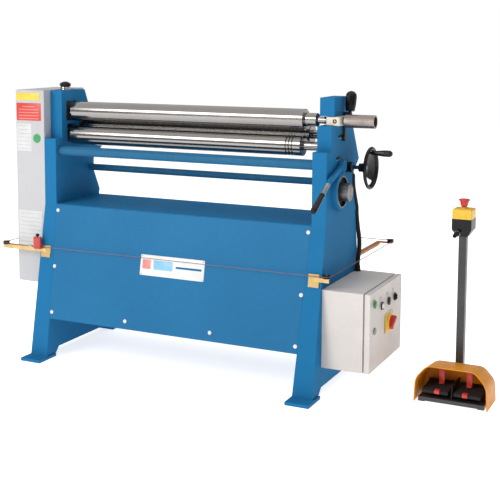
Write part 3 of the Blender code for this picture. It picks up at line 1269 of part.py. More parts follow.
def cable_conduit():
    """Add the conduit from the cabinet's roof up behind the right frame, with a gland at the roof."""
    foot_y = FRAME_REAR
    top = CABINET_HIGH + SEAT
    rise = GLAND_HEIGHT
    path = [(CONDUIT_X, foot_y, top), (CONDUIT_X, foot_y, top + rise),
            (CONDUIT_X, foot_y + rise / 2, top + rise * 2.5), (CONDUIT_X, foot_y + rise * 2.2, top + rise * 4.2),
            (RIGHT_OUTER - CONDUIT_RADIUS, foot_y + rise * 2, top + rise * 6.4),
            (RIGHT_OUTER - rise, HIP_Y + CONDUIT_RADIUS * 2, HIP_Z - rise * 3),
            (RIGHT_OUTER - rise, HIP_Y + CONDUIT_RADIUS * 1.6, HIP_Z),
            (RIGHT_OUTER - rise, WAIST_LOW_Y + CONDUIT_RADIUS * 4, WAIST_LOW_Z - rise),
            (RIGHT_OUTER - rise, WAIST_LOW_Y + CONDUIT_RADIUS * 3, WAIST_LOW_Z + rise / 2),
            (RIGHT_OUTER - rise, WAIST_LOW_Y + CONDUIT_RADIUS * 2.2, WAIST_LOW_Z + rise * 1.2),
            (RIGHT_OUTER - rise, WAIST_LOW_Y + CONDUIT_RADIUS, WAIST_LOW_Z + rise * 1.4),
            (RIGHT_OUTER - rise, WAIST_TOP_Y + SEAT, WAIST_LOW_Z + rise * 1.4)]
    gland = turned([(top, 0.0), (top, GLAND_RADIUS), (top + rise * 0.6, GLAND_RADIUS),
                    (top + rise, CONDUIT_RADIUS + SEAT * 3), (top + rise, 0.0)], "Z", CONDUIT_X, foot_y, GLAND_SIDES)
    return piece("cable_conduit", fused(swept(path, CONDUIT_RADIUS), gland), "black_plastic")


# Control cabinet

def cabinet_hinge(height):
    """Return the cabinet's half of one hinge: pad, leaf, knuckle and the pin that points down."""
    low = height + HINGE_LENGTH + SEAT
    high = low + HINGE_LENGTH / 2
    pad = block((CABINET_END - HINGE_PAD, CABINET_REAR - CABINET_WALL / 2, low),
                (CABINET_END - HINGE_LEAF, CABINET_REAR + HINGE_LEAF, high))
    leaf = block((CABINET_END - HINGE_PAD + HINGE_LEAF, CABINET_REAR + SEAT, low + HINGE_LEAF / 2),
                 (HINGE_X, HINGE_Y, high - HINGE_LEAF / 2))
    knuckle = rod("Z", low, high, HINGE_RADIUS, HINGE_X, HINGE_Y, SMALL_SIDES)
    pin = rod("Z", height, high - HINGE_LEAF, HINGE_PIN_RADIUS, HINGE_X, HINGE_Y, SMALL_SIDES)
    return fused(pad, leaf, knuckle, pin)


def cabinet():
    """Add the cabinet box with its returned opening, raised rim and hinge halves."""
    outer = block((CABINET_START, CABINET_FRONT, CABINET_LOW), (CABINET_END, CABINET_REAR, CABINET_HIGH))
    rim = block((CABINET_END - OVERRUN, CABINET_FRONT + CABINET_RETURN / 2, CABINET_LOW + CABINET_RETURN / 2),
                (CABINET_END + CABINET_RIM, CABINET_REAR - CABINET_RETURN / 2, CABINET_HIGH - CABINET_RETURN / 2))
    hollow = block((CABINET_START + CABINET_WALL, CABINET_FRONT + CABINET_WALL, CABINET_LOW + CABINET_WALL),
                   (CABINET_END - CABINET_WALL, CABINET_REAR - CABINET_WALL, CABINET_HIGH - CABINET_WALL))
    mouth = block((CABINET_END - OVERRUN, CABINET_FRONT + CABINET_RETURN, CABINET_LOW + CABINET_RETURN),
                  (CABINET_END + CABINET_RIM + OVERRUN, CABINET_REAR - CABINET_RETURN, CABINET_HIGH - CABINET_RETURN))
    hinges = [cabinet_hinge(height) for height in HINGE_HEIGHTS]
    mesh = fused(cut(fused(outer, rim), fused(hollow, mouth)), *hinges)
    return piece("cabinet", mesh, "cabinet_white")


def door_bosses():
    """Return the raised rings of the door's lamp and push buttons."""
    places = [(LAMP_Y, LAMP_Z), (START_Y, BUTTON_Z), (STOP_Y, BUTTON_Z), (SELECTOR_Y, BUTTON_Z)]
    return [rod("X", DOOR_END - CABINET_WALL / 2, DOOR_END + BEZEL_HEIGHT, BEZEL_RADIUS, y, z, SMALL_SIDES + 2)
            for y, z in places]


def door_holes():
    """Return the cutters of every hole in the door's face."""
    start = DOOR_END - CABINET_WALL - OVERRUN
    end = DOOR_END + BEZEL_HEIGHT + OVERRUN
    places = [(LAMP_Y, LAMP_Z, BUTTON_HOLE), (START_Y, BUTTON_Z, BUTTON_HOLE), (STOP_Y, BUTTON_Z, BUTTON_HOLE),
              (SELECTOR_Y, BUTTON_Z, BUTTON_HOLE), (SWITCH_Y, SWITCH_Z, HANDLE_STEM + SEAT),
              (LOCK_Y, LOCK_Z, LOCK_STEM + SEAT)]
    return [rod("X", start, end, radius, y, z, SMALL_SIDES + 2) for y, z, radius in places]


def cabinet_door():
    """Add the folded door with its bosses, switch plate and hinge knuckles at the rear edge."""
    outer = block((DOOR_START, CABINET_FRONT, CABINET_LOW), (DOOR_END, CABINET_REAR, CABINET_HIGH))
    hollow = block((DOOR_START - OVERRUN, CABINET_FRONT + CABINET_WALL, CABINET_LOW + CABINET_WALL),
                   (DOOR_END - CABINET_WALL, CABINET_REAR - CABINET_WALL, CABINET_HIGH - CABINET_WALL))
    plate = block((DOOR_END - CABINET_WALL / 2, SWITCH_Y - PLATE_HALF, SWITCH_Z - PLATE_HALF),
                  (DOOR_END + PLATE_HEIGHT, SWITCH_Y + PLATE_HALF, SWITCH_Z + PLATE_HALF))
    knuckles = [rod("Z", z, z + HINGE_LENGTH, HINGE_RADIUS, HINGE_X, HINGE_Y, SMALL_SIDES) for z in HINGE_HEIGHTS]
    leaves = [block((HINGE_X, CABINET_REAR - CABINET_WALL / 2, z + HINGE_LEAF),
                    (HINGE_X + HINGE_LEAF, HINGE_Y, z + HINGE_LENGTH - HINGE_LEAF)) for z in HINGE_HEIGHTS]
    pin_bores = [rod("Z", z - OVERRUN, z + HINGE_LENGTH + OVERRUN, HINGE_PIN_RADIUS + SEAT, HINGE_X, HINGE_Y,
                     SMALL_SIDES) for z in HINGE_HEIGHTS]
    mesh = fused(cut(outer, hollow), plate, *door_bosses(), *knuckles, *leaves)
    return piece("cabinet_door", cut(mesh, *door_holes(), *pin_bores), "cabinet_white", (HINGE_X, HINGE_Y, CABINET_LOW))


def push_button(name, y, z, material, reach):
    """Add one round button or lamp seated in the door's ring."""
    face = DOOR_END + BEZEL_HEIGHT
    low = DOOR_END - CABINET_WALL - BUTTON_STEM_DEPTH
    profile = [(low, 0.0), (low, BUTTON_STEM), (DOOR_END, BUTTON_STEM), (DOOR_END, BUTTON_RADIUS),
               (face + reach * 0.6, BUTTON_RADIUS), (face + reach, BUTTON_RADIUS * 0.75), (face + reach, 0.0)]
    return piece(name, turned(profile, "X", y, z, SMALL_SIDES + 2), material, (DOOR_END, y, z))


def mode_selector():
    """Add the selector knob with its raised wing."""
    face = DOOR_END + BEZEL_HEIGHT
    low = DOOR_END - CABINET_WALL - BUTTON_STEM_DEPTH
    knob = turned([(low, 0.0), (low, BUTTON_STEM), (DOOR_END, BUTTON_STEM), (DOOR_END, BUTTON_RADIUS),
                   (face + BUTTON_REACH / 2, BUTTON_RADIUS), (face + BUTTON_REACH / 2, 0.0)], "X",
                  SELECTOR_Y, BUTTON_Z, SMALL_SIDES + 2)
    wing = block((face, SELECTOR_Y - SELECTOR_WING_HALF, BUTTON_Z - BUTTON_RADIUS * 0.9),
                 (face + BUTTON_REACH / 2 + SELECTOR_WING_HEIGHT, SELECTOR_Y + SELECTOR_WING_HALF,
                  BUTTON_Z + BUTTON_RADIUS * 0.9))
    return piece("mode_selector", fused(knob, wing), "black_plastic", (DOOR_END, SELECTOR_Y, BUTTON_Z))


def main_switch_handle():
    """Add the red rotary handle of the main switch."""
    face = DOOR_END + PLATE_HEIGHT + SEAT
    low = DOOR_END - CABINET_WALL - BUTTON_STEM_DEPTH
    base = turned([(low, 0.0), (low, HANDLE_STEM), (face, HANDLE_STEM), (face, HANDLE_RADIUS),
                   (face + HANDLE_BASE * 0.8, HANDLE_RADIUS), (face + HANDLE_BASE, HANDLE_RADIUS * 0.9),
                   (face + HANDLE_BASE, 0.0)], "X", SWITCH_Y, SWITCH_Z)
    wing = eased(block((face + SEAT * 2, SWITCH_Y - HANDLE_WING_HALF, SWITCH_Z - HANDLE_WING_LENGTH),
                       (face + HANDLE_WING_HEIGHT, SWITCH_Y + HANDLE_WING_HALF, SWITCH_Z + HANDLE_WING_LENGTH)),
                 HANDLE_WING_HALF / 3)
    mesh = moved(fused(base, wing), turn(-60.0, "X", (0.0, SWITCH_Y, SWITCH_Z)))
    return piece("main_switch_handle", mesh, "red_plastic", (DOOR_END, SWITCH_Y, SWITCH_Z))


def door_lock():
    """Add the quarter-turn lock with its cam behind the door."""
    face = DOOR_END + SEAT
    low = DOOR_END - CABINET_WALL - BUTTON_STEM_DEPTH
    body = turned([(low, 0.0), (low, LOCK_STEM), (face, LOCK_STEM), (face, LOCK_RADIUS),
                   (face + LOCK_HEIGHT * 0.7, LOCK_RADIUS), (face + LOCK_HEIGHT, LOCK_RADIUS * 0.85),
                   (face + LOCK_HEIGHT, 0.0)], "X", LOCK_Y, LOCK_Z, SMALL_SIDES + 2)
    slot = block((face + LOCK_HEIGHT - LOCK_SLOT_DEPTH, LOCK_Y - LOCK_STEM, LOCK_Z - LOCK_SLOT_HALF),
                 (face + LOCK_HEIGHT + OVERRUN, LOCK_Y + LOCK_STEM, LOCK_Z + LOCK_SLOT_HALF))
    cam = block((low, LOCK_Y - CAM_LENGTH, LOCK_Z - CAM_HALF), (low + CAM_THICKNESS, LOCK_Y, LOCK_Z + CAM_HALF))
    return piece("door_lock", cut(fused(body, cam), slot), "machined_steel", (DOOR_END, LOCK_Y, LOCK_Z))


# Foot switch unit

def guard_outline(inset):
    """Return the guard's arch in Z and X, drawn in by an inset."""
    floor = 0.0 if inset == 0 else -OVERRUN
    lean = (GUARD_HALF_FLOOR - GUARD_HALF_SHOULDER) / GUARD_SHOULDER_Z
    side = GUARD_HALF_FLOOR - inset - lean * floor
    return [(floor, PEDAL_X - side), (GUARD_SHOULDER_Z - inset / 3, PEDAL_X - GUARD_HALF_SHOULDER + inset),
            (GUARD_HIGH - inset, PEDAL_X - GUARD_HALF_TOP + inset / 3),
            (GUARD_HIGH - inset, PEDAL_X + GUARD_HALF_TOP - inset / 3),
            (GUARD_SHOULDER_Z - inset / 3, PEDAL_X + GUARD_HALF_SHOULDER - inset), (floor, PEDAL_X + side)]


def pedal_guard():
    """Add the bent guard over both pedals, closed at the rear and split by a divider."""
    shell = prism(guard_outline(0), "Y", GUARD_FRONT, GUARD_REAR)
    hollow = prism(guard_outline(GUARD_SHEET), "Y", GUARD_FRONT - OVERRUN, GUARD_REAR - GUARD_SHEET)
    base_top = BASE_LOW + BASE_THICKNESS + SEAT
    divider = block((PEDAL_X - DIVIDER_HALF, GUARD_FRONT + GUARD_FLANGE, base_top),
                    (PEDAL_X + DIVIDER_HALF, GUARD_REAR - GUARD_SHEET / 2, GUARD_HIGH - GUARD_SHEET / 2))
    notch = block((PEDAL_X - BASE_HALF - SEAT, GUARD_REAR - GUARD_SHEET - OVERRUN, -OVERRUN),
                  (PEDAL_X + BASE_HALF + SEAT, GUARD_REAR + OVERRUN, base_top))
    pins = [rod("X", PEDAL_X - BASE_HALF, PEDAL_X + BASE_HALF, PEDAL_PIN, y, z, SMALL_SIDES)
            for y, z in ((PEDAL_HINGE_Y, PEDAL_HINGE_Z), (LATCH_Y, LATCH_Z))]
    ends = [rod("X", PEDAL_X - GUARD_HALF_TOP - GUARD_SHEET, PEDAL_X + GUARD_HALF_TOP + GUARD_SHEET, PEDAL_PIN,
                LATCH_Y, LATCH_Z, SMALL_SIDES)]
    cheeks = [block((PEDAL_X + side * BASE_HALF - DIVIDER_HALF, PEDAL_HINGE_Y - PEDAL_HUB, base_top),
                    (PEDAL_X + side * BASE_HALF + DIVIDER_HALF, GUARD_REAR - GUARD_SHEET / 2,
                     PEDAL_HINGE_Z + PEDAL_HUB)) for side in (-1, 1)]
    mesh = cut(shell, hollow, notch)
    return piece("pedal_guard", fused(mesh, divider, pins[0], *ends, *cheeks), "orange_paint")


def pedal_base():
    """Add the floor plate with the hollow post welded to its rear end."""
    top = BASE_LOW + BASE_THICKNESS
    plate = block((PEDAL_X - BASE_HALF, GUARD_FRONT + GUARD_FLANGE, BASE_LOW), (PEDAL_X + BASE_HALF, BASE_REAR, top))
    pads = [block((PEDAL_X + side * (BASE_HALF - GUARD_FLANGE) - GUARD_FLANGE, y - GUARD_FLANGE, 0.0),
                  (PEDAL_X + side * (BASE_HALF - GUARD_FLANGE) + GUARD_FLANGE, y + GUARD_FLANGE, top - SHEET))
            for side in (-1, 1) for y in (GUARD_FRONT + GUARD_FLANGE * 2, BASE_REAR - GUARD_FLANGE)]
    post = block((POST_X - POST_HALF, POST_Y - POST_HALF, top - SHEET), (POST_X + POST_HALF, POST_Y + POST_HALF, POST_TOP))
    inner = POST_HALF - POST_WALL
    bore = block((POST_X - inner, POST_Y - inner, top), (POST_X + inner, POST_Y + inner, POST_TOP + OVERRUN))
    return piece("pedal_base", cut(fused(plate, post, *pads), bore), "post_black")


def pedal(name, side):
    """Add one ribbed pedal on the rear pin."""
    x = PEDAL_X + side * PEDAL_OFFSET
    slope = (PEDAL_HINGE_Z - PEDAL_NOSE_Z) / (PEDAL_HINGE_Y - PEDAL_FRONT)
    length = PEDAL_HINGE_Y - PEDAL_HUB * 2 - PEDAL_FRONT
    top = [(PEDAL_FRONT, PEDAL_NOSE_Z)]
    pitch = length / PEDAL_RIBS
    for index in range(PEDAL_RIBS):
        for share, lift in ((0.1, 0.0), (0.2, PEDAL_RIB), (0.5, PEDAL_RIB), (0.6, 0.0)):
            y = PEDAL_FRONT + (index + share) * pitch
            top.append((y, PEDAL_NOSE_Z + slope * (y - PEDAL_FRONT) + lift))
    top.append((PEDAL_HINGE_Y, PEDAL_HINGE_Z + PEDAL_HUB * 0.6))
    outline = top + [(PEDAL_HINGE_Y, PEDAL_HINGE_Z - PEDAL_PLATE), (PEDAL_FRONT, PEDAL_NOSE_Z - PEDAL_PLATE)]
    body = prism(outline, "X", x - PEDAL_HALF, x + PEDAL_HALF)
    hub = rod("X", x - PEDAL_HALF, x + PEDAL_HALF, PEDAL_HUB, PEDAL_HINGE_Y, PEDAL_HINGE_Z, SMALL_SIDES)
    bore = rod("X", x - PEDAL_HALF - OVERRUN, x + PEDAL_HALF + OVERRUN, PEDAL_PIN + BORE_CLEARANCE,
               PEDAL_HINGE_Y, PEDAL_HINGE_Z, SMALL_SIDES)
    return piece(name, cut(fused(body, hub), bore), "black_rubber", (x, PEDAL_HINGE_Y, PEDAL_HINGE_Z))


def latch(name, side):
    """Add one red toe latch that hangs above its pedal."""
    x = PEDAL_X + side * PEDAL_OFFSET * 0.7
    hub = rod("X", x - LATCH_HALF, x + LATCH_HALF, PEDAL_HUB, LATCH_Y, LATCH_Z, SMALL_SIDES)
    flap = block((x - LATCH_HALF, LATCH_Y - LATCH_SHEET / 2, LATCH_Z - LATCH_LENGTH),
                 (x + LATCH_HALF, LATCH_Y + LATCH_SHEET / 2, LATCH_Z))
    toe = block((x - LATCH_HALF, LATCH_Y - LATCH_SHEET * 2, LATCH_Z - LATCH_LENGTH),
                (x + LATCH_HALF, LATCH_Y + LATCH_SHEET / 2, LATCH_Z - LATCH_LENGTH + LATCH_SHEET))
    bore = rod("X", x - LATCH_HALF - OVERRUN, x + LATCH_HALF + OVERRUN, PEDAL_PIN + BORE_CLEARANCE,
               LATCH_Y, LATCH_Z, SMALL_SIDES)
    return piece(name, cut(fused(hub, flap, toe), bore), "red_plastic", (x, LATCH_Y, LATCH_Z))


def stop_station():
    """Add the black lower half of the stop box with its tapered neck and cable gland."""
    corners = []
    for half, z in ((STATION_NECK, STATION_LOW), (STATION_HALF, STATION_SHOULDER), (STATION_HALF, STATION_HIGH)):
        corners += [(POST_X + a * half, POST_Y + b * half, z) for a, b in ((-1, -1), (1, -1), (1, 1), (-1, 1))]
    faces = [(0, 1, 2, 3), (11, 10, 9, 8)]
    for row in (0, 4):
        faces += [(row + i, row + (i + 1) % 4, row + (i + 1) % 4 + 4, row + i + 4) for i in range(4)]
    inner = STATION_HALF - STATION_WALL
    hollow = block((POST_X - inner, POST_Y - inner, STATION_SHOULDER + SHEET),
                   (POST_X + inner, POST_Y + inner, STATION_HIGH + OVERRUN))
    gland = rod("Y", POST_Y - STATION_HALF - CABLE_GLAND_LENGTH / 3, POST_Y - STATION_NECK, CABLE_GLAND_RADIUS,
                STATION_SHOULDER - CABLE_GLAND_RADIUS * 1.1, POST_X - STATION_NECK * 0.6, SMALL_SIDES)
    body = fused(solid(corners, faces), gland)
    return piece("stop_station", cut(body, hollow), "black_plastic")


def stop_cover():
    """Add the yellow upper half of the stop box with its collar."""
    def outer_top(middle, edge):
        """Keep the edges above the joint of the two halves."""
        return middle.z > STATION_HIGH + SHEET
    shell = eased(block((POST_X - STATION_HALF, POST_Y - STATION_HALF, STATION_HIGH + SEAT),
                        (POST_X + STATION_HALF, POST_Y + STATION_HALF, COVER_TOP)), STATION_ROUND, 2, outer_top)
    inner = STATION_HALF - STATION_WALL
    hollow = block((POST_X - inner, POST_Y - inner, STATION_HIGH - OVERRUN),
                   (POST_X + inner, POST_Y + inner, COVER_TOP - STATION_WALL))
    collar = rod("Z", COVER_TOP - STATION_WALL / 2, MUSHROOM_COLLAR_TOP, MUSHROOM_COLLAR, POST_X, POST_Y)
    hole = rod("Z", STATION_HIGH, MUSHROOM_COLLAR_TOP + OVERRUN, MUSHROOM_STEM + SEAT, POST_X, POST_Y)
    return piece("stop_cover", cut(fused(cut(shell, hollow), collar), hole), "yellow_plastic")


def stop_mushroom():
    """Add the red mushroom button."""
    low = STATION_HIGH + SHEET * 2
    radius = MUSHROOM_RADIUS
    profile = [(low, 0.0), (low, MUSHROOM_STEM), (MUSHROOM_LOW, MUSHROOM_STEM), (MUSHROOM_LOW, radius * 0.85),
               (MUSHROOM_LOW + SHEET, radius), (MUSHROOM_HIGH - radius * 0.55, radius),
               (MUSHROOM_HIGH - radius * 0.2, radius * 0.8), (MUSHROOM_HIGH, radius * 0.35), (MUSHROOM_HIGH, 0.0)]
    mesh = turned(profile, "Z", POST_X, POST_Y, ROUND_SIDES)
    return piece("stop_mushroom", mesh, "red_plastic", (POST_X, POST_Y, MUSHROOM_LOW))


def recentred():
    """Move every piece so that the origin lies at the middle of the footprint."""
    bpy.context.view_layer.update()
    corners = [item.matrix_world @ vertex.co for item in bpy.context.scene.objects for vertex in item.data.vertices]
    low_x = min(corner.x for corner in corners)
    high_x = max(corner.x for corner in corners)
    low_y = min(corner.y for corner in corners)
    high_y = max(corner.y for corner in corners)
    low_z = min(corner.z for corner in corners)
    offset = Vector(((low_x + high_x) / 2, (low_y + high_y) / 2, low_z))
    for item in bpy.context.scene.objects:
        item.location = item.location - offset
    bpy.context.view_layer.update()
    return offset


for old in list(bpy.data.objects):
    bpy.data.objects.remove(old)

FINISHES = {
    "frame_blue": finish("frame_blue", (0.025, 0.19, 0.46), 0.42),
    "panel_blue": finish("panel_blue", (0.026, 0.2, 0.48), 0.42),
    "cover_grey": finish("cover_grey", (0.74, 0.73, 0.72), 0.45),
    "drive_grey": finish("drive_grey", (0.22, 0.23, 0.25), 0.5),
    "machined_steel": finish("machined_steel", (0.5, 0.5, 0.5), 0.35, 1.0),
    "roll_steel": finish("roll_steel", (0.62, 0.61, 0.6), 0.18, 1.0),
    "bearing_steel": finish("bearing_steel", (0.42, 0.41, 0.4), 0.35, 1.0),
    "tube_steel": finish("tube_steel", (0.4, 0.36, 0.34), 0.4, 1.0),
    "wire_steel": finish("wire_steel", (0.45, 0.45, 0.46), 0.35, 1.0),
    "black_plastic": finish("black_plastic", (0.012, 0.012, 0.013), 0.38),
    "black_rubber": finish("black_rubber", (0.02, 0.02, 0.021), 0.7),
    "orange_paint": finish("orange_paint", (0.77, 0.32, 0.03), 0.42),
    "red_paint": finish("red_paint", (0.6, 0.03, 0.03), 0.4),
    "red_plastic": finish("red_plastic", (0.66, 0.04, 0.035), 0.35),
    "green_plastic": finish("green_plastic", (0.02, 0.32, 0.09), 0.35),
    "white_plastic": finish("white_plastic", (0.75, 0.75, 0.74), 0.4),
    "yellow_plastic": finish("yellow_plastic", (0.87, 0.6, 0.05), 0.4),
    "cabinet_white": finish("cabinet_white", (0.76, 0.75, 0.75), 0.48),
    "post_black": finish("post_black", (0.035, 0.035, 0.037), 0.5),
}

left_frame()
right_frame()
tie_bar("front_tie_bar", FRONT_TIE_Y, FRONT_TIE_Z, FRONT_TIE_RADIUS)
tie_bar("rear_tie_bar", REAR_TIE_Y, REAR_TIE_Z, REAR_TIE_RADIUS)
deck()
panel("front_panel", False)
panel("rear_panel", True)
gear_cover()
gearbox()
drive_motor()
gear("lower_roll_gear", LOWER_Z, 90.0)
gear("top_roll_gear", TOP_Z, 90.0 + 180.0 / TEETH)
top_roll()
roll_yoke()
swing_bearing()
pull_tube()
lubricator_cap()
lower_roll()
rear_roll()
for label, direction in (("left", -1), ("right", 1)):
    bearing("lower_bearing_" + label, direction, TOP_Y, LOWER_Z, LOWER_BEARING_HALF_Y, LOWER_BEARING_HALF_Z, 0.0)
    bearing("rear_bearing_" + label, direction, REAR_Y, REAR_Z, REAR_BEARING_HALF, REAR_BEARING_HALF,
            REAR_SLIDE_DEGREES)
handwheel_spindle()
handwheel()
handwheel_grip()
pinch_lever()
pinch_grip()
eccentric_shaft()
release_lever()
release_grip()
front_bracket("trip_bracket_left", BRACKET_LEFT_START, BRACKET_LEFT_END, PULLEY_LEFT)
front_bracket("trip_bracket_right", BRACKET_RIGHT_START, BRACKET_RIGHT_END, PULLEY_RIGHT)
rear_arm("trip_arm_rear_left", BRACKET_LEFT_START, BRACKET_LEFT_END, PULLEY_LEFT)
rear_arm("trip_arm_rear_right", BRACKET_RIGHT_START, BRACKET_RIGHT_END, PULLEY_RIGHT)
for label, depth in (("front", PULLEY_FRONT), ("rear", PULLEY_REAR)):
    pulley("trip_pulley_" + label + "_left", PULLEY_LEFT, depth)
    pulley("trip_pulley_" + label + "_right", PULLEY_RIGHT, depth)
trip_switch()
trip_reset()
trip_wire()
cable_conduit()
cabinet()
cabinet_door()
push_button("power_lamp", LAMP_Y, LAMP_Z, "green_plastic", LAMP_REACH)
push_button("start_button", START_Y, BUTTON_Z, "white_plastic", BUTTON_REACH)
push_button("stop_button", STOP_Y, BUTTON_Z, "black_plastic", BUTTON_REACH)
mode_selector()
main_switch_handle()
door_lock()
pedal_guard()
pedal_base()
for label, hand in (("left", -1), ("right", 1)):
    pedal("pedal_" + label, hand)
    latch("pedal_latch_" + label, hand)
stop_station()
stop_cover()
stop_mushroom()
recentred()
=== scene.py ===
"""Looks, light and camera for the plate rolling machine with its foot switch.

Every length is in metres, apart from those given to mm(). Places are written in the frame of
the machine: X runs along the rolls from the inner face of the left frame, Y to the rear from
the front of the bending head, and Z up from the floor. Places.at() turns them into the shared
frame.
"""

import json
import logging
import math
from dataclasses import dataclass
from enum import Enum

import bmesh
import bpy
from bpy.types import ID, Material, Node, NodeSocket, NodeTree, Object
from mathutils import Matrix, Vector
from mathutils.bvhtree import BVHTree

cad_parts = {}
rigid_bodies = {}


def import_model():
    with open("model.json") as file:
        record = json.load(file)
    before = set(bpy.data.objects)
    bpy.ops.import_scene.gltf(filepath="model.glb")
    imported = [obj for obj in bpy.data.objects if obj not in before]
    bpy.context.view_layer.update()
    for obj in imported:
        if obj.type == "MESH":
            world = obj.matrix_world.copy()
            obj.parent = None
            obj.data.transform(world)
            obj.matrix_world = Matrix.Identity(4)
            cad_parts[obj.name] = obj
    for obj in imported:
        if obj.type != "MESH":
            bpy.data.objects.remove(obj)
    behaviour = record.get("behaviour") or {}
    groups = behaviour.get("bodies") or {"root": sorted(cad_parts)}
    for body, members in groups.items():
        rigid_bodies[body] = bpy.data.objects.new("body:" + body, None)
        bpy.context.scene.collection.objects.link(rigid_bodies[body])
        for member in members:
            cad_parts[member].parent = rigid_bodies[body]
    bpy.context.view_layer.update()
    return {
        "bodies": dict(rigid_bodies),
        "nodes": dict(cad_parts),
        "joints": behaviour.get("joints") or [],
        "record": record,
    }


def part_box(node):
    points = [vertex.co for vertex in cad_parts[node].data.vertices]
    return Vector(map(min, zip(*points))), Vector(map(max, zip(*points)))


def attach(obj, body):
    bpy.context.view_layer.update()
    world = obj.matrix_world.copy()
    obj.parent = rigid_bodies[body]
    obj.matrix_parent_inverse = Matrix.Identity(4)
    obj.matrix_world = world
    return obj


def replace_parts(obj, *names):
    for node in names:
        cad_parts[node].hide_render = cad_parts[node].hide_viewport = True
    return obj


LOG = logging.getLogger("scene")

Colour = tuple[float, float, float, float]
Point = tuple[float, float, float]
Pair = tuple[float, float]
Profile = tuple[Pair, ...]
Sizes = tuple[float, ...]

WHITE = (1.0, 1.0, 1.0, 1.0)
RIGHT = Vector((1.0, 0.0, 0.0))
FRONT = Vector((0.0, -1.0, 0.0))
UP = Vector((0.0, 0.0, 1.0))


class Body(str, Enum):
    """The bodies of the joint tree that carry detail pieces."""

    MACHINE = "machine"
    DOOR = "door"
    SWING = "swing_carrier"
    LEFT_PEDAL = "left_pedal"
    RIGHT_PEDAL = "right_pedal"
    LEFT_LATCH = "left_latch"
    RIGHT_LATCH = "right_latch"
    MUSHROOM = "mushroom"
    PINCH_LEVER = "pinch_lever_set"


def shade(code: str) -> Colour:
    """Return a display colour written as six hexadecimal digits, as linear light."""
    parts = [int(code[i:i + 2], 16) / 255.0 for i in (0, 2, 4)]
    return (*(p / 12.92 if p <= 0.04045 else ((p + 0.055) / 1.055) ** 2.4 for p in parts), 1.0)


@dataclass(frozen=True)
class Finish:
    """How one kind of surface looks.

    Args:
        colours: main colour, the one that it drifts towards and that of rubbed edges, each as six hexadecimal digits.
        wear: how strongly the edges show it, from 0 to 1.
        rough: lowest and highest roughness.
        metallic: 1 for bare metal.
        drift: size of the colour clouds.
        grain: size of the relief.
        depth: height of the relief.
        stretch: how the relief is drawn out along X, Y and Z.
        coat: weight of a clear coat.
        edge: radius of the rounded edges, or 0 to leave them.
        shine: strength of the plain reflection, 0.5 for most surfaces.
    """

    colours: str
    wear: float = 0.2
    rough: Pair = (0.3, 0.4)
    metallic: float = 0.0
    drift: float = 0.03
    grain: float = 0.001
    depth: float = 1e-5
    stretch: Point = (1.0, 1.0, 1.0)
    coat: float = 0.0
    edge: float = 0.0012
    shine: float = 0.5


